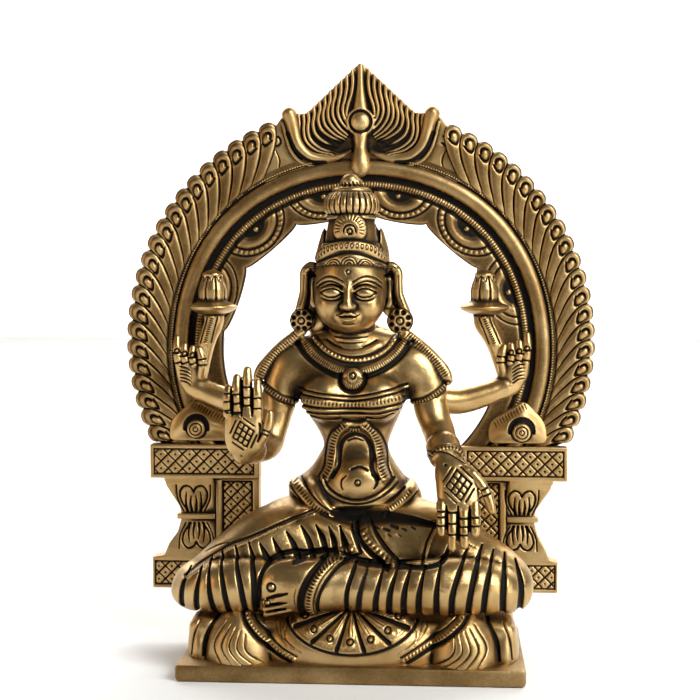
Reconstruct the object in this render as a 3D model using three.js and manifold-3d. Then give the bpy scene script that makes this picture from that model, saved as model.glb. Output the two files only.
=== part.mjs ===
// A seated four-armed goddess in cast brass, before an arched frame, on a draped pedestal.
// Millimetres, +Z up, the front faces -Y, the origin is the middle of the underside.
import * as THREE from 'three';
import { mergeVertices } from 'three/addons/utils/BufferGeometryUtils.js';
import Module from 'manifold-3d';

const wasm = await Module();
wasm.setup();

// Driving dimensions of the whole statue
const BASE_HALF_WIDTH = 68;
const BASE_FRONT = -38;
const BASE_BACK = 38;
const BODY_HALF_WIDTH = 64.4;
const PLINTH_HEIGHT = 7;
const SEAT_TOP = 22.4;
const GAP = 0.3;
const FLOOR = SEAT_TOP + GAP;

// Driving dimensions of the arched frame
const PLATE_BACK = 37.5;
const PLATE_FRONT = 33.5;
const TUBE_CENTRE_Z = 126;
const TUBE_RING = 77.4;
const TUBE_RADIUS = 3.1;
const LEAF_CENTRE_Z = 130;
const LEAF_TIP_RING = 99.4;
const LEAF_ROOT_RING = 82.5;
const LEAVES_EACH_SIDE = 21;
const LEAF_FIRST = THREE.MathUtils.degToRad(-24.5);
const LEAF_LAST = THREE.MathUtils.degToRad(66);
const GARLAND_RING = 59.6;
const GARLAND_LOBE = 3.6;
const LOBE_ANGLE = THREE.MathUtils.degToRad(27.5);
const SHOULDER_BULGE = 0.022;
const CAP_TOP = 85;
const CAP_BOTTOM = 70.4;
const PILASTER_INNER = 43.5;
const OUTER_COLUMN = 62;
const LEFT_PILASTER = { cap: 90.6, bell: 83.6, waist: 77.6, flare: 84.6, block: 89.8 };
const RIGHT_PILASTER = { cap: 88, bell: 81, waist: 74.4, flare: 80.6, block: 84.2 };
const BLOCK_TOP = 36.2;
const APEX_Z = 246;

// Driving dimensions of the figure
const HEAD_X = -2.4;
const CHIN_Z = 135.6;
const HAIRLINE_Z = 163;
const CROWN_TOP_Z = 198;
const HEAD_Y = 6.4;

const brass = (colour) => new THREE.MeshStandardMaterial({ color: colour, roughness: 0.34, metalness: 1 });
const figureBrass = brass(0xa8874f);
const frameBrass = brass(0x9d7d47);
const pedestalBrass = brass(0xb08d54);

const point = (x, y, z) => new THREE.Vector3(x, y, z);

// A closed geometry as a solid that can be joined to others or cut
function solid(geometry) {
  const bare = geometry.clone();
  bare.deleteAttribute('normal');
  bare.deleteAttribute('uv');
  const merged = mergeVertices(bare, 1e-4);
  const faces = [];
  const index = merged.index.array;
  for (let i = 0; i < index.length; i += 3) {
    const [a, b, c] = [index[i], index[i + 1], index[i + 2]];
    if (a !== b && b !== c && c !== a) faces.push(a, b, c);
  }
  const vertProperties = new Float32Array(merged.attributes.position.array);
  return new wasm.Manifold(new wasm.Mesh({ numProp: 3, vertProperties, triVerts: new Uint32Array(faces) }));
}

const join = (solids) => solids.reduce((whole, piece) => whole.add(piece));

// The joined solid as a named mesh
function casting(name, whole, material) {
  const mesh = whole.getMesh();
  const geometry = new THREE.BufferGeometry();
  geometry.setAttribute('position', new THREE.BufferAttribute(mesh.vertProperties, 3));
  geometry.setIndex(new THREE.BufferAttribute(mesh.triVerts, 1));
  geometry.computeVertexNormals();
  const piece = new THREE.Mesh(geometry, material);
  piece.name = name;
  return piece;
}

// A closed skin on a cylinder's net: place gives the point at t, from end to end,
// and at corner k of the section
function skin(sides, steps, place) {
  const net = new THREE.CylinderGeometry(1, 1, 1, sides, steps);
  const position = net.attributes.position;
  const corner = (t, k) => place(t, ((k % sides) + sides) % sides);
  for (let i = 0; i < position.count; i++) {
    const t = 0.5 - position.getY(i);
    const [u, v] = [position.getX(i), position.getZ(i)];
    const onAxis = Math.hypot(u, v) < 0.5;
    const spot = point(0, 0, 0);
    if (onAxis) for (let k = 0; k < sides; k++) spot.addScaledVector(corner(t, k), 1 / sides);
    else spot.copy(corner(t, Math.round(Math.atan2(u, v) / (2 * Math.PI) * sides)));
    position.setXYZ(i, spot.x, spot.y, spot.z);
  }
  return solid(net);
}

const ACROSS_X = point(1, 0, 0);
const ACROSS_Y = point(0, 1, 0);
const ACROSS_Z = point(0, 0, 1);

// A limb: a cylinder's skin laid along a smooth line. Each knot is x, y, z, half width, half depth.
// The width runs along the side direction, and the depth square to it. A level limb keeps its sections flat.
function limb(knots, { sides = 8, steps = 6, across = ACROSS_X, swell = () => 1, level = false } = {}) {
  const path = new THREE.CatmullRomCurve3(knots.map(([x, y, z]) => point(x, y, z)), false, 'centripetal');
  const net = new THREE.CylinderGeometry(1, 1, 1, sides, steps);
  const position = net.attributes.position;
  for (let i = 0; i < position.count; i++) {
    const t = 0.5 - position.getY(i);
    const place = t * (knots.length - 1);
    const k = Math.min(Math.floor(place), knots.length - 2);
    const width = THREE.MathUtils.lerp(knots[k][3], knots[k + 1][3], place - k);
    const depth = THREE.MathUtils.lerp(knots[k][4], knots[k + 1][4], place - k);
    const tangent = level ? ACROSS_Z : path.getTangent(t);
    const side = across.clone().addScaledVector(tangent, -across.dot(tangent)).normalize();
    const normal = tangent.clone().cross(side);
    const [u, v] = [position.getX(i), position.getZ(i)];
    const angle = Math.atan2(v, u);
    const size = Math.hypot(u, v) * swell(t, angle);
    const corner = path.getPoint(t);
    corner.addScaledVector(side, Math.cos(angle) * size * width);
    corner.addScaledVector(normal, Math.sin(angle) * size * depth);
    position.setXYZ(i, corner.x, corner.y, corner.z);
  }
  return solid(net);
}

// A ball squeezed to three half sizes
function ball(x, y, z, rx, ry, rz, around = 8, rows = 6) {
  const geometry = new THREE.SphereGeometry(1, around, rows).rotateX(Math.PI / 2);
  return solid(geometry.scale(rx, ry, rz).translate(x, y, z));
}

function block(x0, x1, y0, y1, z0, z1) {
  const geometry = new THREE.BoxGeometry(x1 - x0, y1 - y0, z1 - z0);
  return solid(geometry.translate((x0 + x1) / 2, (y0 + y1) / 2, (z0 + z1) / 2));
}

// A flat outline in X and Z, given thickness from front to back
function slab(outline, front, back) {
  const shape = new THREE.Shape(outline.map(([x, z]) => new THREE.Vector2(x, z)));
  const geometry = new THREE.ExtrudeGeometry(shape, { depth: back - front, bevelEnabled: false });
  return solid(geometry.rotateX(Math.PI / 2).translate(0, back, 0));
}

// A turned piece: a profile of radius and height, spun about an upright axis.
// Its rows below riseEnd can rise at the front.
function turned(profile, x, y, z, { around = 12, rise = 0, riseEnd = 1 } = {}) {
  const points = profile.map(([r, h]) => new THREE.Vector2(r, h));
  const geometry = new THREE.LatheGeometry(points, around).rotateX(Math.PI / 2);
  const position = geometry.attributes.position;
  for (let i = 0; i < position.count; i++) {
    const front = Math.max(0, -position.getY(i)) / profile[1][0];
    const fade = Math.max(0, 1 - Math.max(0, position.getZ(i)) / riseEnd);
    position.setZ(i, position.getZ(i) + rise * front * fade);
  }
  return solid(geometry.translate(x, y, z));
}

// A round button that faces the front
function button(x, y, z, radius, height, around = 10) {
  const profile = [[0, 0], [radius, 0], [radius * 0.85, height * 0.75], [0, height]];
  const points = profile.map(([r, h]) => new THREE.Vector2(r, h));
  const geometry = new THREE.LatheGeometry(points, around).rotateX(Math.PI);
  return solid(geometry.translate(x, y, z));
}

// Both sides of a shape that the frame repeats as its mirror image
const bothSides = (piece) => [piece, piece.mirror([1, 0, 0])];

const polar = (centreZ, radius, angle) => [radius * Math.cos(angle), centreZ + radius * Math.sin(angle)];

// The arch turns about a centre. Its section is a list of radius and depth for each angle from the top
function arcSweep(centreZ, end, steps, section) {
  const corners = (t) => {
    const fromTop = -end + 2 * end * t;
    const bulge = 1 + (Math.abs(fromTop) < Math.PI / 2 ? SHOULDER_BULGE * Math.sin(2 * fromTop) ** 2 : 0);
    return section(fromTop).map(([radius, y]) => {
      const reach = radius * bulge;
      return point(reach * Math.sin(fromTop), y, centreZ + reach * Math.cos(fromTop));
    });
  };
  return skin(corners(0).length, steps, (t, k) => corners(t)[k]);
}

// The smooth ring of the arch: scalloped garland, inner moulding, tube moulding and bead rim
function archRing() {
  const ring = TUBE_RING;
  const half = TUBE_RADIUS;
  const flat = TUBE_RADIUS * 0.7;
  const front = PLATE_FRONT;
  const tubeFront = front - TUBE_RADIUS * 0.75;
  const end = Math.PI / 2 + Math.asin((TUBE_CENTRE_Z - CAP_TOP + 1) / GARLAND_RING);
  return arcSweep(TUBE_CENTRE_Z, end, 26, (fromTop) => {
    const inLobes = Math.abs(fromTop) < 3 * LOBE_ANGLE ? 1 : 0;
    const scallop = Math.sqrt(Math.abs(Math.sin(Math.PI * fromTop / LOBE_ANGLE)));
    const inner = GARLAND_RING - inLobes * GARLAND_LOBE * scallop;
    const moulding = [[ring - 9, front], [ring - 8, front - 1.2], [ring - 7, front]];
    const tube = [[ring - half, front], [ring - flat, tubeFront], [ring + flat, tubeFront],
      [ring + half, front]];
    const rim = [[ring + half + 4, front], [ring + half + 4, PLATE_BACK]];
    return [[inner, PLATE_BACK], [inner, front], ...moulding, ...tube, ...rim];
  });
}

// One side's leaves: ridges and grooves that bow upwards from the bead rim to a round knob at the edge
function leafBand() {
  const pitch = (LEAF_LAST - LEAF_FIRST) / (LEAVES_EACH_SIDE - 1);
  const first = LEAF_FIRST - pitch / 2;
  const bow = 0.05;
  const ridge = [[0, 0.4], [0.8, 2.4], [1, 1.4], [1], [0]];
  const groove = [[0, 0], [0.66, -0.6], [0.88, -0.2], [0.88], [0]];
  const rows = 3;
  const steps = rows * LEAVES_EACH_SIDE;
  return skin(ridge.length, steps, (t, k) => {
    const step = Math.round((1 - t) * steps);
    const across = [0, 0.27, 0.73][step % rows];
    const angle = first + pitch * (Math.floor(step / rows) + across);
    const root = LEAF_ROOT_RING - (LEAF_CENTRE_Z - TUBE_CENTRE_Z) * Math.sin(angle);
    const [share, height] = (step % rows ? ridge : groove)[k];
    const radius = root + (LEAF_TIP_RING - root) * share;
    const [x, z] = polar(LEAF_CENTRE_Z, radius, angle + bow * Math.sin(Math.PI * share ** 0.8));
    return point(x, height === undefined ? PLATE_BACK - GAP : PLATE_FRONT - 0.4 - height, z);
  });
}

// The plate behind the crest, from the last leaves up to the point
function crestPlate() {
  const side = polar(LEAF_CENTRE_Z, LEAF_TIP_RING - 3, LEAF_LAST + 0.04);
  const low = polar(TUBE_CENTRE_Z, TUBE_RING + 2, LEAF_LAST - 0.04);
  const half = [low, side, [33.5, 226], [23, 226.2]];
  const mirrored = half.map(([x, z]) => [-x, z]).reverse();
  const outline = [...half, [0, APEX_Z], ...mirrored, [0, TUBE_CENTRE_Z + TUBE_RING - 1]];
  return slab(outline, PLATE_FRONT, PLATE_BACK - GAP);
}

// The crest over the arch: flame hair, two horns, and the boss with the drop below it
function crest() {
  const pieces = [];
  const front = PLATE_FRONT;
  const ribs = 5;
  for (let i = 0; i < ribs; i++) {
    const share = (i + 0.6) / ribs;
    const top = [2.4 + 19.6 * share, APEX_Z - 2.6 - 17.6 * share];
    const low = [4.6 + 14 * share, 214.5 - 4.5 * Math.sin(share * Math.PI)];
    const wave = [top[0] * 0.55 + low[0] * 0.45 - 1.1, (top[1] + low[1]) / 2];
    const knots = [top, wave, low].map(([x, z]) => [x, front, z, 0.75, 1.3]);
    pieces.push(...bothSides(limb(knots, { sides: 3, steps: 2 })));
  }
  const horn = [[1.5, 205.5, 1.4], [9, 204.8, 1.7], [17.5, 207.3, 2], [23, 214, 2.4], [25.6, 222, 2.7],
    [29.8, 227, 3.1]];
  const hornKnots = horn.map(([x, z, r]) => [x, front - 0.6, z, r, r]);
  pieces.push(...bothSides(limb(hornKnots, { sides: 5, steps: 7, across: ACROSS_Y })));
  pieces.push(button(0, front, 222.6, 5, 4.6, 12));
  const ridge = [[0, 245, 0.9], [0, 238, 1.6], [0, 226, 2.6]].map(([x, z, r]) => [x, front, z, r, 1.8]);
  pieces.push(limb(ridge, { sides: 4, steps: 2 }));
  const drop = [[0, 219, 1.9], [0, 212, 1.9], [0, 206, 3.2], [0, 202.5, 3.2], [0, 200, 1.2]];
  pieces.push(limb(drop.map(([x, z, r]) => [x, front - 1, z, r, r + 0.6]), { sides: 6, steps: 4 }));
  return pieces;
}

// An eye-shaped pod on the pilaster's cap
function pod() {
  const line = [[47, 86.2, 1.2], [55, 88, 3.4], [63, 91.6, 7], [70, 94, 8.8], [76, 91.5, 6.6], [81.5, 88.4, 3]];
  const knots = line.map(([x, z, r]) => [x, PLATE_FRONT, z, r, 3.4]);
  const body = limb(knots, { sides: 6, steps: 5, across: ACROSS_Z });
  const belowCap = CAP_TOP - 1;
  const insideCap = block(PILASTER_INNER, BODY_HALF_WIDTH * 2, BASE_FRONT, BASE_BACK * 2, CAP_BOTTOM, belowCap);
  const eye = button(69.6, PLATE_FRONT - 2.2, 92, 4.6, 3.2, 8);
  return [...bothSides(body.subtract(insideCap)), ...bothSides(eye)];
}

// A diamond stud of the lattice, on a face that lies at y
function stud(x, z, y) {
  return solid(new THREE.ConeGeometry(3.3, 1.8, 4).rotateX(Math.PI / 2).translate(x, y - 0.5, z));
}

// A pilaster: block, flared capitals and cap outside, and a straight column inside
function pilaster({ cap, bell, waist, flare, block: foot }) {
  const face = PLATE_FRONT - 2.6;
  const capFace = face - 1.8;
  const lowBell = [[flare, BLOCK_TOP + 0.6], [flare - 2, 42], [waist + 1.4, 47], [waist, 52.6]];
  const highBell = [[waist + 0.2, 56], [(waist + bell) / 2, 62], [bell, 67]];
  const capEdge = [[cap, CAP_BOTTOM], [cap, CAP_TOP]];
  const outside = [[foot, FLOOR], [foot, BLOCK_TOP], ...lowBell, ...highBell, ...capEdge];
  const pieces = [slab([[PILASTER_INNER, FLOOR], ...outside, [PILASTER_INNER, CAP_TOP]], face, PLATE_BACK)];
  pieces.push(block(PILASTER_INNER - 0.4, cap + 0.4, capFace, PLATE_BACK - 0.4, CAP_BOTTOM, CAP_TOP));
  pieces.push(block(OUTER_COLUMN, foot + 0.4, capFace, PLATE_BACK - 0.4, FLOOR, BLOCK_TOP));
  pieces.push(block(OUTER_COLUMN, waist + 1, face - 1.2, PLATE_BACK - 0.4, 52.4, 55.2));
  const pitch = 8;
  for (let i = 0; i < 5; i++) pieces.push(stud(PILASTER_INNER + 6.4 + pitch * i, 77.7, capFace));
  for (let i = 0; i < 3; i++) pieces.push(stud(52.6, 43 + pitch * 1.2 * i, face));
  for (let i = 0; i < 2; i++) pieces.push(stud(69.4 + pitch * i, 29.6, capFace));
  for (const [low, high] of [[57, 69], [38, 50.6]]) {
    for (const side of [-1, 1]) {
      const middle = (low + high) / 2;
      const petal = [[69 + 2 * side, face, low, 1, 0.9], [69.6 + 3.2 * side, face, middle, 2.7, 1.8],
        [70 + 4.4 * side, face, high, 1, 0.8]];
      pieces.push(limb(petal, { sides: 4, steps: 2 }));
    }
  }
  return join(pieces);
}

function makeFrame() {
  const pieces = [archRing(), ...bothSides(leafBand()), crestPlate(), ...crest(), ...pod()];
  pieces.push(pilaster(RIGHT_PILASTER), pilaster(LEFT_PILASTER).mirror([1, 0, 0]));
  const railEnd = PILASTER_INNER + 1;
  pieces.push(block(-railEnd, railEnd, PLATE_FRONT - 1, PLATE_BACK, FLOOR, BLOCK_TOP));
  return casting('prabhavali_frame', join(pieces), frameBrass);
}

// A row of knots with one radius for a cord that lies on the body
const cord = (points, radius, options) => limb(points.map(([x, y, z]) => [x, y, z, radius, radius]), options);

function makeTorso() {
  const hips = [[0, 9, FLOOR, 24, 18], [0, 9, 44, 28.5, 19], [0, 10, 64, 28, 17]];
  const girdle = [[0, 10, 65, 29.2, 18.6], [-0.5, 10, 69.4, 28.4, 18], [-0.5, 10, 70.4, 26.4, 16]];
  const waist = [[0, 10, 81, 16.5, 12], [0, 10, 87, 13.2, 10.5], [-0.5, 9.5, 94, 15.8, 12]];
  const band = [[-1, 8.5, 101.6, 19.8, 13.6], [-1.2, 8, 102.6, 22, 15.6], [-1.4, 8, 106.2, 22.6, 15.8]];
  const chest = [[-1.5, 8, 107.2, 21.8, 14.2], [-1.5, 8.5, 113, 24, 13.8], [-1.5, 10, 119, 28, 13]];
  const neck = [[-1.5, 11, 124.5, 23, 11.4], [-1, 11, 128.5, 12, 9.6], [-1.4, 10.5, 138, 9.4, 8.5]];
  const trunk = [...hips, ...girdle, ...waist, ...band, ...chest, ...neck];
  const pieces = [limb(trunk, { sides: 10, steps: trunk.length - 1, level: true })];
  for (const x of [-11.4, 8.6]) pieces.push(ball(x, -1.5, 107, 9.8, 7.8, 8.8, 7, 5));
  pieces.push(ball(0.6, -0.6, 75.5, 9, 6, 8.4, 7, 5));
  for (const [top, low] of [[-5.4, -12], [4.6, 12.4]]) {
    const middle = (top + low) / 2;
    const strand = [[top, -3.2, 97], [middle, -1.2, 88], [middle + 0.05 * low, -1.8, 81], [low, -4, 71]];
    pieces.push(cord(strand, 1.4, { sides: 4, steps: 4 }));
  }
  const collar = [[-21, 10, 127.6], [-17.4, 2.4, 123.4], [-9.4, -2, 119], [-1, -3.6, 117.4], [7.2, -2, 119],
    [15, 2.4, 123.8], [19, 10, 128]];
  pieces.push(cord(collar, 2, { sides: 4, steps: 6, across: ACROSS_Z }));
  pieces.push(ball(-1.6, -5, 114.2, 3, 2.4, 3.6, 6, 4));
  return pieces;
}

function makeHead() {
  const skull = [[0, 1.5, CHIN_Z - 0.8, 3.4, 3], [0, 3, CHIN_Z + 2, 8.6, 8], [0, 4.6, CHIN_Z + 7, 12.8, 12],
    [0, 5.6, CHIN_Z + 13, 14.7, 14], [0, 6, CHIN_Z + 21, 15.2, 14.8], [0, 6.4, HAIRLINE_Z + 2, 15.2, 14.8],
    [0, 7, HAIRLINE_Z + 9, 13, 13]];
  const skullKnots = skull.map(([x, y, z, w, d]) => [HEAD_X + x, y, z, w, d]);
  const pieces = [limb(skullKnots, { sides: 10, steps: 6, level: true })];
  const faceHeight = HAIRLINE_Z - CHIN_Z;
  const browZ = CHIN_Z + faceHeight * 0.66;
  const noseZ = CHIN_Z + faceHeight * 0.37;
  const mouthZ = CHIN_Z + faceHeight * 0.22;
  pieces.push(limb([[HEAD_X, -8.2, browZ, 1.2, 1.2], [HEAD_X, -9.6, (browZ + noseZ) / 2, 1.6, 1.8],
    [HEAD_X, -11, noseZ, 2.7, 2.2], [HEAD_X, -8.6, noseZ - 1.6, 1.6, 1.4]], { sides: 6, steps: 4 }));
  for (const side of [-1, 1]) {
    pieces.push(ball(HEAD_X + side * 6.3, -6.2, CHIN_Z + faceHeight * 0.52, 4, 2.6, 2.1, 6, 4));
  }
  for (const lift of [-0.9, 0.9]) {
    pieces.push(ball(HEAD_X, -7.4, mouthZ + lift, 3.8 - 0.4 * lift, 2, 1.1, 6, 3));
  }
  const crownX = HEAD_X + 0.4;
  const rim = [[0, -3], [15.4, -3], [17, -0.6], [15.6, 1.6], [15.8, 3.6], [13.4, 7]];
  const cone = [[10.8, 18.6], [9.6, 20.4], [6, 29], [6, 32], [3.4, 32.8]];
  const crown = [...rim, ...cone, [0, CROWN_TOP_Z - HAIRLINE_Z + 0.4]];
  pieces.push(turned(crown, crownX, HEAD_Y, HAIRLINE_Z, { around: 10, rise: 4, riseEnd: 14 }));
  const lobes = 8;
  const dome = [[19.4, 9.4], [22.6, 11.6], [26.6, 10.6], [30, 6.4]];
  const domeKnots = dome.map(([lift, radius]) => [crownX, HEAD_Y, HAIRLINE_Z + lift, radius, radius]);
  const flutes = (t, angle) => 1 + 0.035 * Math.cos(lobes * angle);
  pieces.push(limb(domeKnots, { sides: 2 * lobes, steps: 3, swell: flutes }));
  pieces.push(button(HEAD_X + 0.6, -5.6, 177, 3.4, 2.4, 8));
  const middle = HEAD_X + 0.2;
  const ear = [[16, 160.4, 2], [19.4, 161, 2.2], [20.4, 154, 2.2], [20, 146, 2], [19.4, 140, 1.8]];
  for (const side of [-1, 1]) {
    const earKnots = ear.map(([x, z, radius]) => [middle + side * x, 8, z, radius, radius]);
    pieces.push(limb(earKnots, { sides: 5, steps: 4, across: ACROSS_Y }));
    pieces.push(button(middle + side * 20.4, 7.6, 138.9, 5.1, 4.4, 8));
  }
  return pieces;
}

// A hand: a palm and fingers. Each digit is a list of knots, and the palm is a flat limb
function hand(palm, digits, radius, joints = 2) {
  const pieces = [limb(palm, { sides: 6, steps: 2 })];
  for (const digit of digits) pieces.push(cord(digit, radius, { sides: 4, steps: joints }));
  return pieces;
}

// Her right arm, bent up with the open palm to the front
function makeRaisedArm() {
  const shoulder = [[-26.5, 11, 121, 8, 8], [-31, 10, 114, 7.8, 7.5], [-31.8, 9, 107.4, 6.8, 6.8]];
  const armlet = [[-32, 9, 106.6, 8.2, 8.2], [-32.6, 8.4, 103.2, 7.8, 7.8]];
  const elbow = [[-32.8, 8.2, 102.4, 6.2, 6.4], [-34.5, 6, 94, 5.6, 6], [-35, 1, 88.4, 5.4, 5.4]];
  const bangle = [[-40.6, -10, 87.8, 4.8, 4.8], [-41, -11, 88, 5.8, 5.8], [-42.6, -14, 88.4, 5.6, 5.6]];
  const arm = [...shoulder, ...armlet, ...elbow, ...bangle, [-43, -15, 88.6, 4, 4]];
  const palm = [[-43.2, -15, 86.6, 5, 3.8], [-43, -18.4, 93, 7, 4], [-42.6, -19.4, 100, 7.6, 3.6],
    [-42.6, -19.6, 104.6, 7, 2.6]];
  const fingers = [[-48, 103, 114.4, -1.4], [-44.4, 104, 119.2, -0.6], [-40.6, 104, 121.4, 0],
    [-37, 103.4, 117, 0.8]];
  const digits = fingers.map(([x, root, tip, lean]) => [
    [x, -19.4, root - 3], [x + lean * 0.5, -20, (root + tip) / 2], [x + lean, -19.6, tip]]);
  digits.push([[-37.6, -17.6, 90], [-34, -18.6, 96], [-32.4, -19, 103.6]]);
  return [limb(arm, { sides: 6, steps: arm.length - 1 }), ...hand(palm, digits, 1.95)];
}

// Her left arm, hanging down with the open palm to the front
function makeLoweredArm() {
  const shoulder = [[24, 11, 121, 8, 8], [28.6, 10, 114, 7.8, 7.5], [30, 9, 107.4, 6.8, 6.8]];
  const armlet = [[30.2, 8.8, 106.4, 8.2, 8.2], [31, 8.2, 103.2, 7.8, 7.8]];
  const elbow = [[31.4, 7.8, 102.2, 6.6, 6.6], [33.4, 5, 96, 6.5, 6.2], [35.4, -3, 89.4, 6, 5.6]];
  const bangle = [[35.8, -4.4, 88.6, 6.8, 6.4], [37, -9, 85.4, 6.8, 6.2], [37.4, -10.4, 84.6, 5, 4.4]];
  const arm = [...shoulder, ...armlet, ...elbow, ...bangle];
  const palm = [[37.4, -11.4, 84.4, 5, 3.6], [40.6, -16.6, 78.4, 8.6, 4], [42.2, -20, 71.6, 8.8, 3.8],
    [42.2, -22, 66.6, 8, 3]];
  const fingers = [[36, 53.6, -0.8], [40, 51.6, -0.4], [44, 51.6, 0.2], [47.8, 54, 1.2]];
  const digits = fingers.map(([x, tip, lean]) => [
    [x + 0.4, -21.4, 69], [x + lean * 0.5, -24.6, 60.6], [x + lean, -26.2, tip]]);
  digits.push([[47.6, -17.6, 79], [51.6, -19.4, 73], [53.4, -21, 65.4]]);
  return [limb(arm, { sides: 6, steps: arm.length - 1 }), ...hand(palm, digits, 2.1)];
}

// A rear arm, from the shoulder to a hand that holds a lotus by its stem
function makeRearArm(side, elbow, wrist, flowerX) {
  const [wristX, wristY, wristZ] = wrist;
  const middle = elbow.map((value, k) => (value + wrist[k]) / 2);
  const upper = [[side * 24, 15, 115, 6.4, 6.4], [...elbow, 5.4, 5.4],
    [middle[0], middle[1], middle[2] - 0.6, 5, 5]];
  const bangle = [[3.4, 4], [2.6, 4.9], [0, 4.9], [-0.8, 3.6]];
  const lower = bangle.map(([back, radius]) => [-side * back, 0, -0.35 * back, radius, radius]);
  const arm = [...upper, ...lower.map(([x, y, z, ...radii]) => [wristX + x, wristY + y, wristZ + z, ...radii])];
  const pieces = [limb(arm, { sides: 5, steps: arm.length - 1, across: ACROSS_Y })];
  const handX = wristX + side * 1.6;
  const palm = [[handX, 24, wristZ + 0.6, 4, 3.6], [handX + side * 1.6, 23.6, wristZ + 6, 5.6, 4.2],
    [handX + side * 2.4, 23.6, wristZ + 12, 5.4, 3.4]];
  const fingers = [[handX + side * 4.6, 23.4, wristZ + 10], [handX + side * 6.6, 23, wristZ + 16],
    [handX + side * 7.6, 23.4, wristZ + 21.4]];
  const thumb = [[handX - side * 2.4, 22, wristZ + 8], [handX - side * 3.4, 20.6, wristZ + 13],
    [handX - side * 2.6, 20.6, wristZ + 17]];
  pieces.push(...hand(palm, [fingers, thumb], 1.8, 1));
  const flowerZ = 144.6;
  const stem = [[wristX - side * 1.4, 23.4, wristZ + 9, 2.6, 2.6],
    [(wristX + flowerX) / 2 - side * 1.6, 22.6, flowerZ - 12, 3.4, 3], [flowerX, 21.6, flowerZ - 2, 4, 3.6]];
  pieces.push(limb(stem, { sides: 6, steps: 3 }));
  const lotus = [[0, -3.2], [10.4, -0.4], [5.6, 2.2], [5.9, 6], [4.8, 11], [0, 15.6]];
  pieces.push(turned(lotus, flowerX, 21.4, flowerZ, { around: 8 }));
  return pieces;
}

// A leg in pleated cloth: its bands stand up between dark grooves
function pleatedLimb(knots, pleats) {
  const swell = (t) => 1 + 0.07 * Math.cos(2 * Math.PI * pleats * t);
  return limb(knots, { sides: 6, steps: pleats * 2, across: ACROSS_Z, swell });
}

// The crossed legs, with one foot in front, and the folds of cloth in the lap
function makeLegs() {
  const rightThigh = [[-12, 4, 47, 20, 18], [-30, 0, 45, 20, 19], [-46, -5, 39, 15, 17],
    [-58, -9, 33.6, 11, 13.4], [-65, -12, 31, 8.6, 10], [-69.4, -12, 29.6, 4, 5]];
  const leftThigh = [[12, 4, 47, 20, 18], [30, 0, 45, 20, 19], [46, -5, 40.6, 16, 17], [58, -9, 35, 12, 14],
    [65.6, -12, 31.6, 9, 10], [70.4, -12, 30, 4, 5]];
  const rightShin = [[-67, -12, 30.6, 6, 8], [-60, -17, 33, 10, 10], [-46, -22, 34.6, 11.6, 10.6],
    [-28, -20, 35, 11, 10], [-8, -14, 35, 9, 8]];
  const leftShin = [[67.4, -12, 31, 6, 8], [60, -17, 34, 10.6, 10.4], [42, -22.6, 35.6, 12.4, 11],
    [20, -24, 35.4, 12, 10.6], [2, -24.6, 34.8, 11, 10]];
  const pieces = [pleatedLimb(rightThigh, 6), pleatedLimb(leftThigh, 6)];
  pieces.push(pleatedLimb(rightShin, 5), pleatedLimb(leftShin, 8));
  pieces.push(ball(4, -2, 44, 38, 20, 20, 6, 4));
  const anklet = [[-6, -25, 34.8, 9.8, 9.2], [-7, -25, 34.8, 11.4, 10.8], [-10.4, -25, 34.8, 11.2, 10.6],
    [-15.4, -25.2, 34.8, 11, 10.4], [-16, -25.4, 34.8, 9.6, 9]];
  const sole = [[-23, -26.4, 34.8, 11, 8], [-30, -27, 33.4, 10.4, 6.4], [-34.6, -27, 32, 8, 4.6]];
  const foot = [[6, -24.6, 34.8, 9.6, 9], ...anklet, ...sole];
  pieces.push(limb(foot, { sides: 6, steps: foot.length - 1, across: ACROSS_Z }));
  for (const [x, z, size] of [[-35.6, 39.6, 3], [-36, 32.8, 2.6]]) {
    pieces.push(ball(x, -28, z, 3.2, size, size, 5, 4));
  }
  const sash = [[[-20, -9, 62], [-4, -14, 56.4], [12, -17, 51]],
    [[8, -9, 63], [16, -14.6, 56.4], [24, -20, 49]]];
  for (const fold of sash) pieces.push(cord(fold, 2.4, { sides: 5, steps: 3 }));
  return pieces;
}

// The two ropes of hair that fall from the ears over the shoulders
function makeHairRopes() {
  const right = [[-22.4, 8, 136], [-28, 7, 129.6], [-34.4, 6.6, 124], [-40, 7, 115.4]];
  const left = [[18.4, 8, 136], [25, 7, 129], [31.6, 6.6, 123], [36.8, 7, 116.2]];
  return [right, left].map((rope) => cord(rope, 2.6, { sides: 5, steps: 3 }));
}

function makeFigure() {
  const parts = [...makeTorso(), ...makeHead(), ...makeHairRopes(), ...makeRaisedArm(), ...makeLoweredArm()];
  parts.push(...makeRearArm(1, [35.6, 20, 104.4], [62.4, 24, 111.4], 52.6));
  parts.push(...makeRearArm(-1, [-41, 20, 102.6], [-69, 24, 109.8], -61.7));
  parts.push(...makeLegs());
  const reach = BASE_HALF_WIDTH * 2;
  const aboveSeat = block(-reach, reach, -reach, reach, FLOOR, APEX_Z);
  return casting('goddess_figure', join(parts).intersect(aboveSeat), figureBrass);
}

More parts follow.
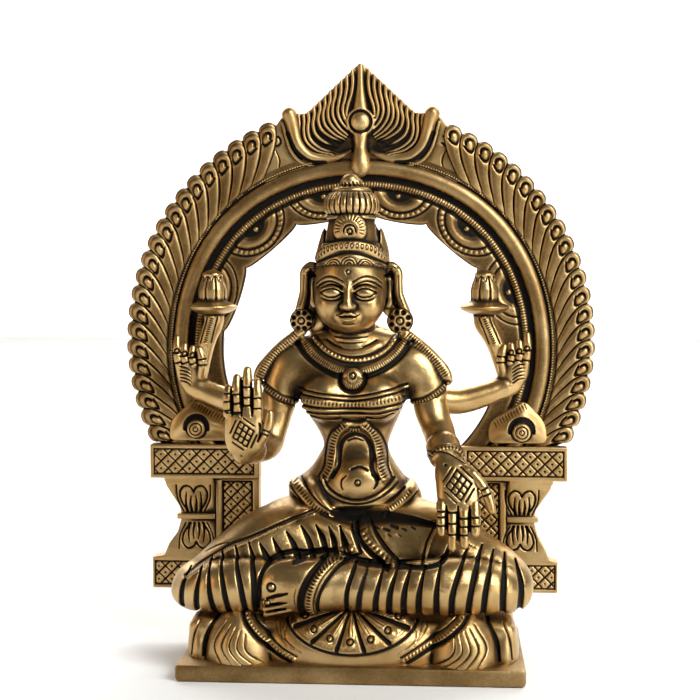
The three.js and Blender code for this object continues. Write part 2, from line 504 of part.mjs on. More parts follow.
// The pedestal: a low plinth, and a seat draped with swags, two hems and a fan of pleats
function makePedestal() {
  const pieces = [];
  const round = (halfWidth, front, back, corner, low, high) => {
    const plan = new THREE.Shape();
    const arc = (x, y, start) => plan.absarc(x, y, corner, start, start + Math.PI / 2, false);
    arc(halfWidth - corner, back - corner, 0);
    arc(-halfWidth + corner, back - corner, Math.PI / 2);
    arc(-halfWidth + corner, front + corner, Math.PI);
    arc(halfWidth - corner, front + corner, Math.PI * 1.5);
    const options = { depth: high - low, bevelEnabled: false, curveSegments: 3 };
    return solid(new THREE.ExtrudeGeometry(plan, options).translate(0, 0, low));
  };
  pieces.push(round(BASE_HALF_WIDTH, BASE_FRONT, BASE_BACK, 4, 0, PLINTH_HEIGHT));
  pieces.push(round(BODY_HALF_WIDTH, BASE_FRONT + 5, BASE_BACK - 0.2, 6, PLINTH_HEIGHT - 1, SEAT_TOP));
  const swags = [[53, -26, 15, 11.6, 7.4, 8.4], [35, -30, 14, 12, 5.4, 9]];
  for (const side of [-1, 1]) {
    for (const [x, y, z, ...sizes] of swags) pieces.push(ball(side * x, y, z, ...sizes, 7, 5));
    const hem = [[side * 45, -33.4, 21.8], [side * 36, -35, 16], [side * 25, -35, 11]];
    pieces.push(cord(hem, 1.6, { sides: 4, steps: 2 }));
  }
  const belowSeat = block(-BASE_HALF_WIDTH, BASE_HALF_WIDTH, BASE_FRONT, BASE_BACK, 0, SEAT_TOP);
  const fan = [];
  const pleats = 9;
  const heart = [-2, SEAT_TOP + 4.4];
  const fanY = BASE_FRONT + 4;
  for (let i = 0; i < pleats; i++) {
    const angle = Math.PI * (0.1 + 0.8 * i / (pleats - 1));
    const [dx, dz] = [1.7 * Math.cos(angle), -Math.sin(angle)];
    const place = (reach, width, depth) => [heart[0] + dx * reach, fanY, heart[1] + dz * reach, width, depth];
    fan.push(limb([place(3, 0.9, 1.4), place(14.6, 2.6, 2.4)], { sides: 4, steps: 1 }));
  }
  return casting('pedestal', join([join(pieces).intersect(belowSeat), ...fan]), pedestalBrass);
}

const statue = new THREE.Group();
statue.add(makePedestal(), makeFrame(), makeFigure());
export default statue;
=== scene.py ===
# %% [markdown]
# # A seated goddess in cast brass
# The statue is one low plinth with a draped seat, one seated figure and one arched frame behind her.
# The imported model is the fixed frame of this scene. It is loaded first, and every sculpted piece
# takes the place of one of its plain castings.

# %% Load the frame
import math

import bpy
import numpy as np
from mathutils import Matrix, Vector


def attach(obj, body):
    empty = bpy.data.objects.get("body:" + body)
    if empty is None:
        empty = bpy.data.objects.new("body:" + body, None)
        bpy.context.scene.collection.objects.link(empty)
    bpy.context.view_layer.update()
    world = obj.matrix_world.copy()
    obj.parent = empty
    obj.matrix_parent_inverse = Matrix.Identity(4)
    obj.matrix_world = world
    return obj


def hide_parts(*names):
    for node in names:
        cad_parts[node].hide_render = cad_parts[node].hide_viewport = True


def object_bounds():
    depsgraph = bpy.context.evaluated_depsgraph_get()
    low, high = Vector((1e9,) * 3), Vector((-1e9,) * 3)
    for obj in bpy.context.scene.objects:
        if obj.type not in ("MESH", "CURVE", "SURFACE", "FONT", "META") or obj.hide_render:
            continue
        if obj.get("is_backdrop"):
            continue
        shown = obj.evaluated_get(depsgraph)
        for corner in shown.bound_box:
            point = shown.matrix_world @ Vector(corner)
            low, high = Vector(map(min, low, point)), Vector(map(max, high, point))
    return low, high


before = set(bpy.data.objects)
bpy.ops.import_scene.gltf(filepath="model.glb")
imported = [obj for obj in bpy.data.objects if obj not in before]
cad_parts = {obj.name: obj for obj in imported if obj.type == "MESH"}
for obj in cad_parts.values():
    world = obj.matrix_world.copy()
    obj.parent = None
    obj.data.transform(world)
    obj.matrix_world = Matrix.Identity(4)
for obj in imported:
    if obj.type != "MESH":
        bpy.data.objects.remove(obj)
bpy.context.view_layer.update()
MM = 0.001

# %% [markdown]
# ## Clay
# Lost-wax brass is modelled in wax and clay first, so its forms melt into each other. Polygons that are
# pushed through each other leave hard creases, and a voxel remesh of them rounds off the fine carving.
# Here a block of space holds, at every grid point, the distance to the surface. Adding, melting and
# carving are then sums on that block, and one pass turns it into a closed mesh.
# Everything in the clay is in millimetres.

# %% Distances that melt together
FAR = 5.0


def melt(first, second, soft):
    """The smaller of two distances, with a fillet about as large as soft where they meet."""
    if soft == 0:
        return np.minimum(first, second)
    dip = np.maximum(soft - np.abs(first - second), 0) / soft
    return np.minimum(first, second) - dip * dip * soft / 4


def egg(offsets, radii):
    """About the distance to an egg: one offset from its middle and one half size for each direction."""
    near = sum((offset / radius) ** 2 for offset, radius in zip(offsets, radii)) + 1e-6
    steep = sum((offset / radius**2) ** 2 for offset, radius in zip(offsets, radii)) + 1e-6 / min(radii) ** 2
    return (near - np.sqrt(near)) / np.sqrt(steep)


def step(low, high, value):
    """0 below low, 1 above high, and a smooth climb between them."""
    t = np.clip((value - low) / (high - low), 0, 1)
    return t * t * (3 - 2 * t)


def ridge(distance, half):
    """1 on a line and 0 from half a width away, with a round top."""
    return np.clip(1 - (distance / half) ** 2, 0, 1)


def smooth(knots, count):
    """A smooth line through rows of numbers, as count + 1 rows evenly spaced along it."""
    knots = np.array(knots, float)
    gaps = np.linalg.norm(np.diff(knots[:, :3], axis=0), axis=1)
    at = np.concatenate([[0], np.cumsum(gaps)])
    straight = np.tile(np.diff(knots, axis=0)[:1] / gaps[0], (len(knots), 1))
    slope = np.gradient(knots, at, axis=0) if len(knots) > 2 else straight
    t = np.linspace(0, at[-1], count + 1)
    i = np.clip(np.searchsorted(at, t, side="right") - 1, 0, len(gaps) - 1)
    gap = gaps[i][:, None]
    u = (t - at[i])[:, None] / gap
    rise = 3 * u**2 - 2 * u**3
    return ((1 - rise) * knots[i] + rise * knots[i + 1]
            + (u**3 - 2 * u**2 + u) * gap * slope[i] + (u**3 - u**2) * gap * slope[i + 1])


def moved(line, across=0.0, up=0.0, way=1):
    """A line of x, z and perhaps half width, moved in the picture plane. Way -1 mirrors it first."""
    return [[across + way * x, up + z, *rest] for x, z, *rest in line]


def round_about(x, z, radius, degrees):
    """The place on a circle in the picture plane at an angle."""
    turn = math.radians(degrees)
    return [x + radius * math.cos(turn), z + radius * math.sin(turn)]


# %% [markdown]
# The block keeps two numbers at each point: the distance, and how much dark patina a carved line holds.
# Limbs are first roughed out on a coarse block and then refined, because their forms are smooth and the
# fine block has 27 times as many points.

# %% The block of clay
class Clay:
    """A block of space between two corners, in mm. Below zero is metal."""

    def __init__(self, low, high, pitch):
        self.pitch = pitch
        self.axes = [np.arange(a, b + pitch, pitch, dtype=np.float32) for a, b in zip(low, high)]
        self.field = np.full([len(axis) for axis in self.axes], FAR, np.float32)
        self.stain = np.zeros([1, 1, 1], np.float32)

    def window(self, low, high):
        """The slices of the block between two corners, and the coordinates in it."""
        cuts = []
        for axis, a, b in zip(self.axes, low, high):
            cuts.append(slice(max(int(np.searchsorted(axis, a)) - 1, 0), int(np.searchsorted(axis, b)) + 1))
        x, y, z = [axis[cut] for axis, cut in zip(self.axes, cuts)]
        return tuple(cuts), (x[:, None, None], y[None, :, None], z[None, None, :])

    def refine(self, times):
        """A finer block of the same form, with room for stains."""
        low = [axis[0] for axis in self.axes]
        high = [axis[-1] - self.pitch for axis in self.axes]
        fine = Clay(low, high, self.pitch)
        fine.pitch = self.pitch / times
        field = self.field
        for k in range(3):
            spots = np.arange((len(self.axes[k]) - 1) * times + 1) / times
            below = np.minimum(spots.astype(int), len(self.axes[k]) - 2)
            share = (spots - below).astype(np.float32)
            share = share.reshape([-1 if k == n else 1 for n in range(3)])
            field = np.take(field, below, k) * (1 - share) + np.take(field, below + 1, k) * share
            fine.axes[k] = (self.axes[k][0] + spots * self.pitch).astype(np.float32)
        fine.field = field
        fine.stain = np.zeros_like(field)
        return fine

    def ball(self, centre, radii, soft=0.0, tilt=0.0, cut=False):
        """Adds or cuts an egg shape. A tilt turns it in the picture plane, in degrees."""
        radii = np.broadcast_to(np.array(radii, float), 3)
        reach = (radii if tilt == 0 else radii.max()) + soft + 2
        cuts, (x, y, z) = self.window(np.array(centre) - reach, np.array(centre) + reach)
        dx, dy, dz = x - centre[0], y - centre[1], z - centre[2]
        cosine, sine = math.cos(math.radians(tilt)), math.sin(math.radians(tilt))
        distance = egg((dx * cosine + dz * sine, dy, dz * cosine - dx * sine), radii)
        self.merge(cuts, distance, soft, cut)

    def merge(self, cuts, distance, soft, cut=False):
        """Joins a distance to the block, or cuts it away."""
        if cut:
            self.field[cuts] = -melt(-self.field[cuts], distance, soft)
        else:
            self.field[cuts] = melt(self.field[cuts], distance, soft)

    def limb(self, knots, soft=1.0, across=(1, 0, 0), count=24, relief=None, cut=False):
        """Adds a limb. Each knot is x, y, z, half width and half depth, and the width runs along the across
        direction. A relief is given the way along the limb, from 0 to 1, and the angle round it."""
        path = smooth(knots, count)
        reach = path[:, 3:5].max() + soft + 2
        cuts, (x, y, z) = self.window(path[:, :3].min(0) - reach, path[:, :3].max(0) + reach)
        shape = [x.shape[0], y.shape[1], z.shape[2]]
        best = np.full(shape, FAR, np.float32)
        along = np.zeros(shape, np.float32)
        angle = np.zeros(shape, np.float32)
        for i in range(count):
            start, end = path[i, :3], path[i + 1, :3]
            size = path[i : i + 2, 3:5].max() + soft + 2
            low, high = np.minimum(start, end) - size, np.maximum(start, end) + size
            spans = [slice(int(np.searchsorted(a.ravel(), p)), int(np.searchsorted(a.ravel(), q)))
                     for a, p, q in zip((x, y, z), low, high)]
            part = tuple(spans)
            dx, dy, dz = x[spans[0]] - start[0], y[:, spans[1]] - start[1], z[:, :, spans[2]] - start[2]
            line = end - start
            length = max(np.linalg.norm(line), 1e-6)
            tangent = line / length
            side = np.array(across) - np.dot(across, tangent) * tangent
            side /= np.linalg.norm(side)
            normal = np.cross(tangent, side)
            run = dx * tangent[0] + dy * tangent[1] + dz * tangent[2]
            t = np.clip(run / length, 0, 1)
            u = dx * side[0] + dy * side[1] + dz * side[2]
            v = dx * normal[0] + dy * normal[1] + dz * normal[2]
            width = path[i, 3] + (path[i + 1, 3] - path[i, 3]) * t
            depth = path[i, 4] + (path[i + 1, 4] - path[i, 4]) * t
            beyond = run - t * length
            thin = np.minimum(width, depth)
            near = (u / width) ** 2 + (v / depth) ** 2 + (beyond / thin) ** 2 + 1e-6
            steep = (u / width**2) ** 2 + (v / depth**2) ** 2 + (beyond / thin**2) ** 2 + 1e-6 / thin**2
            distance = (near - np.sqrt(near)) / np.sqrt(steep)
            closer = distance < best[part]
            best[part] = np.where(closer, distance, best[part])
            if relief:
                along[part] = np.where(closer, (i + t) / count, along[part])
                angle[part] = np.where(closer, np.arctan2(v / depth, u / width), angle[part])
        if relief:
            best = best - relief(along, angle)
        self.merge(cuts, best, soft, cut)

    def column(self, knots, soft=1.0):
        """Adds an upright form with flat sections. Each knot is x, y, z, half width, half depth."""
        path = smooth(knots, 8 * len(knots))
        reach = path[:, 3:5].max() + soft + 2
        cuts, (x, y, z) = self.window(path[:, :3].min(0) - reach, path[:, :3].max(0) + reach)
        middle_x, middle_y, width, depth = [np.interp(z, path[:, 2], path[:, n]) for n in (0, 1, 3, 4)]
        near = ((x - middle_x) / width) ** 2 + ((y - middle_y) / depth) ** 2 + 1e-6
        steep = ((x - middle_x) / width**2) ** 2 + ((y - middle_y) / depth**2) ** 2 + 1e-6 / depth**2
        beyond = np.maximum(z - path[-1, 2], path[0, 2] - z)
        distance = np.maximum((near - np.sqrt(near)) / np.sqrt(steep), beyond)
        self.merge(cuts, distance.astype(np.float32), soft)

    def engrave(self, low, high, pattern, depth, dark=1.0):
        """Sinks the surface between two corners by a pattern of x, y and z, which is 0 to 1, and stains it.
        A depth below zero raises the surface, and dark 0 leaves it clean."""
        cuts, (x, y, z) = self.window(low, high)
        amount = np.broadcast_to(pattern(x, y, z), self.field[cuts].shape)
        self.field[cuts] += depth * amount
        if dark:
            self.stain[cuts] = np.maximum(self.stain[cuts], dark * amount)

    def spin(self, profile, centre, rises=((0, 0), (1, 0)), reach=1.0, soft=0.0):
        """Adds a turned form: a profile of height and radius about an upright axis.
        Its rows can rise at the front, by an amount that changes with the height."""
        heights, radii = np.array(profile, float).T
        table = np.arange(heights[0], heights[-1] + 0.1, 0.1)
        padded = np.pad(np.interp(table, heights, radii), 2, mode="edge")
        rounded = np.convolve(padded, np.ones(5) / 5, "valid")
        lean = 1 / np.sqrt(1 + np.gradient(rounded, table) ** 2)
        wide = radii.max() + soft + 2
        top = max(rise for _, rise in rises) + heights[-1] + 2
        cuts, (x, y, z) = self.window((centre[0] - wide, centre[1] - wide, centre[2] + heights[0] - 2),
                                      (centre[0] + wide, centre[1] + wide, centre[2] + top))
        level = self.level(x, y, z, centre, rises, reach)
        radius = np.hypot(x - centre[0], y - centre[1])
        distance = (radius - np.interp(level, table, rounded)) * np.interp(level, table, lean)
        distance = np.maximum(distance, np.maximum(level - heights[-1], heights[0] - level))
        self.merge(cuts, distance.astype(np.float32), soft)

    @staticmethod
    def level(x, y, z, centre, rises, reach):
        """The height in a turned form's profile at a point."""
        ahead = np.clip(-(y - centre[1]) / reach, 0, 1)
        heights, amounts = np.array(rises, float).T
        return z - centre[2] - ahead * np.interp(z - centre[2], heights, amounts)

    def stroke(self, points, half, depth, dark=0.9, tick=0.0, far=99.0, near=-99.0):
        """Draws a smooth line on the surface, as seen from the front: x and z points, or x, z and half width.
        The depth sinks it, and below zero raises it and wipes it clean. A tick breaks it into beads."""
        rows = [[row[0], 0, row[1], row[2] if len(row) > 2 else half] for row in points]
        length = sum(math.dist(a[:3], b[:3]) for a, b in zip(rows, rows[1:]))
        count = max(3, int(length / 0.9))
        path = smooth(rows, count)
        wide = path[:, 3].max() + 0.4
        cuts, (x, y, z) = self.window((path[:, 0].min() - wide, near, path[:, 2].min() - wide),
                                      (path[:, 0].max() + wide, far, path[:, 2].max() + wide))
        x, z = x[:, 0, :], z[:, 0, :]
        best = np.full((x.shape[0], z.shape[1]), 9.0)
        along = np.zeros_like(best)
        run = 0.0
        for start, end in zip(path, path[1:]):
            line = end - start
            size = math.hypot(line[0], line[2])
            share = np.clip(((x - start[0]) * line[0] + (z - start[2]) * line[2]) / size**2, 0, 1)
            off = np.hypot(x - start[0] - share * line[0], z - start[2] - share * line[2])
            off = off / (start[3] + share * line[3])
            closer = off < best
            best = np.where(closer, off, best)
            along = np.where(closer, run + share * size, along)
            run += size
        amount = np.clip(1 - best**2, 0, 1)
        if tick:
            beads = max(1, round(run / tick))
            amount = amount * (0.5 - 0.5 * np.cos(along / run * beads * 2 * np.pi))
        amount = amount[:, None, :].astype(np.float32)
        self.field[cuts] += depth * amount
        if depth > 0:
            self.stain[cuts] = np.maximum(self.stain[cuts], dark * amount)
        else:
            self.stain[cuts] *= 1 - amount

    def dot(self, x, z, radius, depth, dark=0.9, far=99.0):
        """A round dent, or a small boss where the depth is below zero."""
        self.stroke([[x - 0.01, z], [x + 0.01, z]], radius, depth, dark, far=far)

    def circle(self, x, z, radius, half, depth, dark=0.9, far=99.0, start=0, end=360):
        """A ring, or an arc of it between two angles."""
        turns = np.radians(np.linspace(start, end, max(5, int((end - start) / 24))))
        self.stroke([[x + radius * math.cos(a), z + radius * math.sin(a)] for a in turns], half, depth, dark,
                    far=far)

    def coats(self, line, far, *rows):
        """Several strokes on one line. Each row is half width, depth and perhaps darkness and tick."""
        for half, depth, *rest in rows:
            self.stroke(line, half, depth, *rest, far=far)


# %% [markdown]
# Where the distance changes its sign between two grid points, the surface passes. Each small cube that it
# crosses gets one vertex, at the middle of those crossings, and each crossed edge gets one face between the
# four cubes around it. The faces wind so that they point out of the metal, and the shell is closed.

# %% From clay to a mesh
CORNERS = [(i, j, k) for i in (0, 1) for j in (0, 1) for k in (0, 1)]
EDGES = [(a, b) for a in range(8) for b in range(a + 1, 8)
         if sum(abs(p - q) for p, q in zip(CORNERS[a], CORNERS[b])) == 1]


def skin(clay):
    """The surface of the clay, as points in mm and faces of four corners."""
    field = clay.field
    inside = field < 0
    nx, ny, nz = [n - 1 for n in field.shape]
    filled = sum(inside[i : i + nx, j : j + ny, k : k + nz].astype(np.uint8) for i, j, k in CORNERS)
    crossed = (filled > 0) & (filled < 8)
    cell = np.argwhere(crossed)
    number = np.full(crossed.shape, -1, np.int32)
    number[crossed] = np.arange(len(cell))
    values = [field[cell[:, 0] + i, cell[:, 1] + j, cell[:, 2] + k] for i, j, k in CORNERS]
    total = np.zeros((len(cell), 3))
    hits = np.zeros(len(cell))
    for a, b in EDGES:
        hit = (values[a] < 0) != (values[b] < 0)
        share = np.where(hit, values[a] / np.where(hit, values[a] - values[b], 1), 0)
        place = np.array(CORNERS[a]) + share[:, None] * (np.array(CORNERS[b]) - CORNERS[a])
        total += np.where(hit[:, None], place, 0)
        hits += hit
    start = np.array([axis[0] for axis in clay.axes])
    points = (cell + total / hits[:, None]) * clay.pitch + start
    faces = []
    for axis in range(3):
        u, v = (axis + 1) % 3, (axis + 2) % 3
        trim = [slice(1, -1)] * 3
        trim[axis] = slice(0, -1)
        ahead = list(trim)
        ahead[axis] = slice(1, None)
        low_side, high_side = inside[tuple(trim)], inside[tuple(ahead)]
        spot = np.argwhere(low_side != high_side)
        outward = low_side[tuple(spot.T)]
        spot = spot + np.array([0 if k == axis else 1 for k in range(3)])
        step_u, step_v = np.eye(3, dtype=int)[u], np.eye(3, dtype=int)[v]
        around = [spot - step_u - step_v, spot - step_v, spot, spot - step_u]
        quad = np.stack([number[tuple(corner.T)] for corner in around], axis=1)
        faces.append(np.where(outward[:, None], quad, quad[:, ::-1]))
    return points, np.concatenate(faces)


# %% [markdown]
# Old brass is dark where a cloth never reaches and bright where hands and cloth rub it. How deep a point
# lies shows in a blur of the metal around it: more than half is metal in a hollow, less on an edge.
# That number goes on the mesh as the attribute recess, together with the carved stains. Its widest blur
# is painted shade, not patina: it darkens the wide hollows under the chin and between arms, body and legs.

# %% How deep each point lies
def blur(block, width):
    """A soft blur of a block: the mean of width neighbours along each axis, taken twice."""
    for axis in (0, 1, 2, 0, 1, 2):
        pad = [(0, 0)] * 3
        pad[axis] = (width // 2 + 1, width // 2)
        sums = np.cumsum(np.pad(block, pad, mode="edge"), axis=axis, dtype=np.float32)
        size = block.shape[axis]
        high = [slice(None)] * 3
        low = [slice(None)] * 3
        high[axis] = slice(width, width + size)
        low[axis] = slice(0, size)
        block = (sums[tuple(high)] - sums[tuple(low)]) / width
    return block


def sample(block, spots):
    """The block's values between its points, at rows of grid places."""
    top = np.array(block.shape) - 2
    base = np.clip(spots.astype(int), 0, top)
    share = np.clip(spots - base, 0, 1)
    value = 0
    for corner in CORNERS:
        weight = np.prod(np.where(corner, share, 1 - share), axis=1)
        place = base + corner
        value = value + weight * block[place[:, 0], place[:, 1], place[:, 2]]
    return value


def depth_of(clay, points):
    """0 on edges, about a third on open faces and 1 in the deepest hollows and carved lines. It holds groove
    patina and painted shade in wide hollows.
    """
    thin = 2
    metal = np.clip(0.5 - clay.field[::thin, ::thin, ::thin] / (2 * clay.pitch), 0, 1)
    start = np.array([axis[0] for axis in clay.axes])
    spots = (points - start) / (clay.pitch * thin)
    near = sample(blur(metal, 3), spots)
    wide = sample(blur(metal, 7), spots)
    broad_shade = sample(blur(metal, 17), spots)
    # The widest blur adds painted shade: it darkens wide hollows under and between parts, where shade falls
    hollow = 0.3 + 2.4 * (near - 0.5) + 1.3 * (wide - 0.5) + 0.9 * (broad_shade - 0.5)
    stain = sample(clay.stain, (points - start) / clay.pitch) if clay.stain.size > 1 else 0
    return np.clip(np.maximum(hollow, stain), 0, 1)


# %% From a mesh to a piece
FRAME_METAL = ("prabhavali_frame", "frame_brass")
SEAT_METAL = ("pedestal", "pedestal_brass")
FIGURE_METAL = ("goddess_figure", "figure_brass")
PIECE_LIMIT = 60000
pieces = {}


def on_bench(name, mesh):
    """A new object made of a mesh, active and the only one selected."""
    made = bpy.data.objects.new(name, mesh)
    bpy.context.collection.objects.link(made)
    bpy.ops.object.select_all(action="DESELECT")
    bpy.context.view_layer.objects.active = made
    made.select_set(True)
    return made


def set_recess(mesh, values):
    """Tells the mesh how deep each of its points lies, from 0 to 1."""
    recess = mesh.attributes.new("recess", "FLOAT", "POINT")
    recess.data.foreach_set("value", np.asarray(values, np.float32).ravel())


def tie(made, name, node, slot):
    """Names a finished piece and ties it to the casting that it replaces and to its metal."""
    made.name = name
    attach(made, "root")
    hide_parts(node)
    pieces[name] = (made, slot)


def piece(name, clay, node, slot, limit=PIECE_LIMIT):
    """Turns clay into a named piece that takes the place of a plain casting."""
    points, faces = skin(clay)
    mesh = bpy.data.meshes.new(name)
    mesh.vertices.add(len(points))
    mesh.vertices.foreach_set("co", (points * MM).astype(np.float32).ravel())
    mesh.loops.add(faces.size)
    mesh.loops.foreach_set("vertex_index", faces.astype(np.int32).ravel())
    mesh.polygons.add(len(faces))
    mesh.polygons.foreach_set("loop_start", np.arange(0, faces.size, 4, dtype=np.int32))
    mesh.update(calc_edges=True)
    made = on_bench(name, mesh)
    relax = made.modifiers.new("relax", "SMOOTH")
    relax.factor = 0.5
    relax.iterations = 1
    bpy.ops.object.modifier_apply(modifier=relax.name)
    triangles = 2 * len(faces)
    if triangles > limit:
        fewer = made.modifiers.new("fewer", "DECIMATE")
        fewer.ratio = limit / triangles
        bpy.ops.object.modifier_apply(modifier=fewer.name)
    bpy.ops.object.shade_smooth()
    mesh = made.data
    spots = np.zeros(len(mesh.vertices) * 3, np.float32)
    mesh.vertices.foreach_get("co", spots)
    set_recess(mesh, depth_of(clay, spots.reshape(-1, 3) / MM))
    print(name, "triangles:", len(mesh.loops) - 2 * len(mesh.polygons))
    tie(made, name, node, slot)


# %% [markdown]
# ## The brass
# Antique brass is one metal with a dark film that stays in the hollows. The same dark also paints shade
# into the wide hollows under and between parts. So one material does for all castings, and the attribute
# recess tells it how deep each point lies.
# A small class keeps the shader's sums readable as sums.

# %% Sums in a shader
class Number:
    """A number that changes over the surface, with the usual signs for sums."""

    def __init__(self, recipe, socket):
        self.recipe = recipe
        self.socket = socket

    def sum(self, operation, first, second):
        made = self.recipe.node("Math", {"operation": operation}, {0: first, 1: second})
        return Number(self.recipe, made.outputs[0])

    def __add__(self, other):
        return self.sum("ADD", self, other)

    def __radd__(self, other):
        return self.sum("ADD", other, self)

    def __sub__(self, other):
        return self.sum("SUBTRACT", self, other)

    def __rsub__(self, other):
        return self.sum("SUBTRACT", other, self)

    def __mul__(self, other):
        return self.sum("MULTIPLY", self, other)

    def __rmul__(self, other):
        return self.sum("MULTIPLY", other, self)


class Recipe:
    """The nodes of one material."""

    def __init__(self, name):
        self.material = bpy.data.materials.new(name)
        self.material.use_nodes = True
        self.tree = self.material.node_tree
        self.shader = self.tree.nodes["Principled BSDF"]

    def node(self, kind, settings, values):
        """A node of any kind: its settings first, then the values or links of its sockets."""
        made = self.tree.nodes.new("ShaderNode" + kind)
        for name, value in settings.items():
            if name == "stops":
                for spot, (place, colour) in enumerate(value):
                    ramp = made.color_ramp.elements
                    stop = ramp[spot] if spot < 2 else ramp.new(place)
                    stop.position = place
                    stop.color = colour
            else:
                setattr(made, name, value)
        for name, value in values.items():
            self.feed(made.inputs[name], value)
        return made

    def feed(self, socket, value):
        if isinstance(value, Number):
            value = value.socket
        if isinstance(value, bpy.types.NodeSocket):
            self.tree.links.new(value, socket)
        else:
            socket.default_value = value

    def noise(self, scale, detail, roughness=0.5):
        """Soft spots of a size set by the scale, from 0 to 1, fixed to the object."""
        place = self.node("TexCoord", {}, {}).outputs["Object"]
        values = {"Vector": place, "Scale": scale, "Detail": detail, "Roughness": roughness}
        made = self.node("TexNoise", {}, values)
        return Number(self, made.outputs["Fac"])

    def between(self, value, low, high):
        """0 up to low, 1 from high."""
        made = self.node("MapRange", {"clamp": True}, {0: value, 1: low, 2: high, 3: 0.0, 4: 1.0})
        return Number(self, made.outputs[0])

    def mix(self, share, first, second):
        made = self.node("Mix", {"data_type": "RGBA"}, {0: share, 6: first, 7: second})
        return made.outputs[2]


# %% [markdown]
# The metal itself is warm yellow and only softly polished. In the hollows lies a brown-black film with
# hardly any shine. Between the two, on faces that are seldom rubbed, the brass is a darker olive brown.
# In the wide hollows under and between parts, the olive brown and the brown-black are painted shade.

# %% Antique brass
BRIGHT_BRASS = (0.57, 0.395, 0.18, 1)
WARM_BRASS = (0.40, 0.245, 0.088, 1)
DULL_BRASS = (0.13, 0.076, 0.027, 1)
# Near-black: the patina film in the grooves, and painted shade in the wide hollows
DARK_FILM_AND_SHADE = (0.008, 0.006, 0.004, 1)
BUMP_SIZE = 0.5 * MM


def antique_brass(name, tone, matt):
    """Brass with a dark film in its hollows and painted shade in its wide hollows. The tone shifts how far
    both reach, and matt dulls it.
    """
    recipe = Recipe(name)
    depth = Number(recipe, recipe.node("Attribute", {"attribute_name": "recess"}, {}).outputs["Fac"])
    cloud = recipe.noise(60, 4)
    grain = recipe.noise(900, 3)
    # The recess holds patina and painted shade, so the dull brown and the near-black also paint shade into
    # wide hollows
    level = depth + (cloud - 0.5) * 0.22 + (grain - 0.5) * 0.1 + tone
    dull = recipe.between(level, 0.22, 0.45)
    film_and_shade = recipe.between(level, 0.42, 0.66)
    metal = recipe.mix(recipe.between(cloud, 0.35, 0.7), BRIGHT_BRASS, WARM_BRASS)
    worn_and_shaded = recipe.mix(dull, metal, DULL_BRASS)
    recipe.feed(recipe.shader.inputs["Base Color"], recipe.mix(film_and_shade, worn_and_shaded, DARK_FILM_AND_SHADE))
    recipe.feed(recipe.shader.inputs["Metallic"], 1 - film_and_shade * 0.25)
    recipe.feed(recipe.shader.inputs["Roughness"], matt + grain * 0.16 + dull * 0.1 + film_and_shade * 0.2)
    bumps = recipe.noise(450, 3) + recipe.noise(1600, 2) * 0.5
    bump = recipe.node("Bump", {}, {"Strength": 0.22, "Distance": BUMP_SIZE, "Height": bumps})
    recipe.feed(recipe.shader.inputs["Normal"], bump.outputs["Normal"])
    return recipe.material


brass = {"figure_brass": antique_brass("figure brass", 0.1, 0.27),
         "pedestal_brass": antique_brass("pedestal brass", -0.04, 0.32),
         "frame_brass": antique_brass("frame brass", 0.08, 0.36)}
print("materials:", sorted(brass))

# %% [markdown]
# ## The stage
# The photograph shows the statue on white, nearly from the front, from a little above its middle.
# Brass shows little but reflections. So the room is dim, which gives the near-black reflections, and
# four softboxes stand in it: a key from the upper right for the cream highlights, a narrow one low at the
# right, a weak warm one at the left, and a wide one overhead that also whitens the floor. A bright wall
# far behind gives the white.

# %% Floor, wall, lights and camera
def flat_material(name, colour, glow):
    """Paint without shine, which can glow of itself."""
    recipe = Recipe(name)
    recipe.feed(recipe.shader.inputs["Base Color"], colour)
    recipe.feed(recipe.shader.inputs["Roughness"], 0.9)
    recipe.feed(recipe.shader.inputs["Emission Color"], colour)
    recipe.feed(recipe.shader.inputs["Emission Strength"], glow)
    return recipe.material


def stage_plane(name, size, place, turn, material):
    """A square plane of the stage, in metres and radians."""
    bpy.ops.object.select_all(action="DESELECT")
    bpy.ops.mesh.primitive_plane_add(size=size, location=place, rotation=turn)
    made = bpy.context.object
    made.name = name
    made.data.materials.append(material)
    made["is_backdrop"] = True


WHITE = (0.93, 0.93, 0.92, 1)
stage_plane("floor", 12, (0, 0, 0), (0, 0, 0), flat_material("pale floor", WHITE, 0.0))
stage_plane("wall", 12, (0, 3, 0), (math.radians(90), 0, 0), flat_material("white wall", WHITE, 1.0))

world = bpy.context.scene.world or bpy.data.worlds.new("studio")
bpy.context.scene.world = world
world.use_nodes = True
sky = world.node_tree.nodes["Background"]
sky.inputs["Color"].default_value = (1.0, 0.95, 0.88, 1)
sky.inputs["Strength"].default_value = 0.1


def soft_light(name, place, target, width, height, power, colour):
    """A rectangular softbox that faces a target."""
    bpy.ops.object.light_add(type="AREA", location=place)
    light = bpy.context.object
    light.name = name
    light.data.shape = "RECTANGLE"
    light.data.size = width
    light.data.size_y = height
    light.data.energy = power
    light.data.color = colour
    way = light.location.copy()
    way.x, way.y, way.z = [b - a for a, b in zip(place, target)]
    light.rotation_euler = way.to_track_quat("-Z", "Y").to_euler()


MIDDLE = (0, 0, 0.12)
RIGHT_SHOULDER = (0.07, 0.03, 0.15)
DAYLIGHT = (0.98, 1, 1)
LAMPLIGHT = (1, 0.66, 0.36)
soft_light("key", (0.6, -0.6, 0.75), MIDDLE, 0.5, 0.5, 10, DAYLIGHT)
soft_light("side light", (0.75, -0.42, 0.24), RIGHT_SHOULDER, 0.25, 0.6, 3, DAYLIGHT)
soft_light("warm fill", (-0.85, -0.5, 0.3), MIDDLE, 0.3, 0.5, 1.4, LAMPLIGHT)
soft_light("overhead", (0, 1.4, 1.3), (0, 0.9, 0), 3, 1.2, 44, (1, 1, 1))

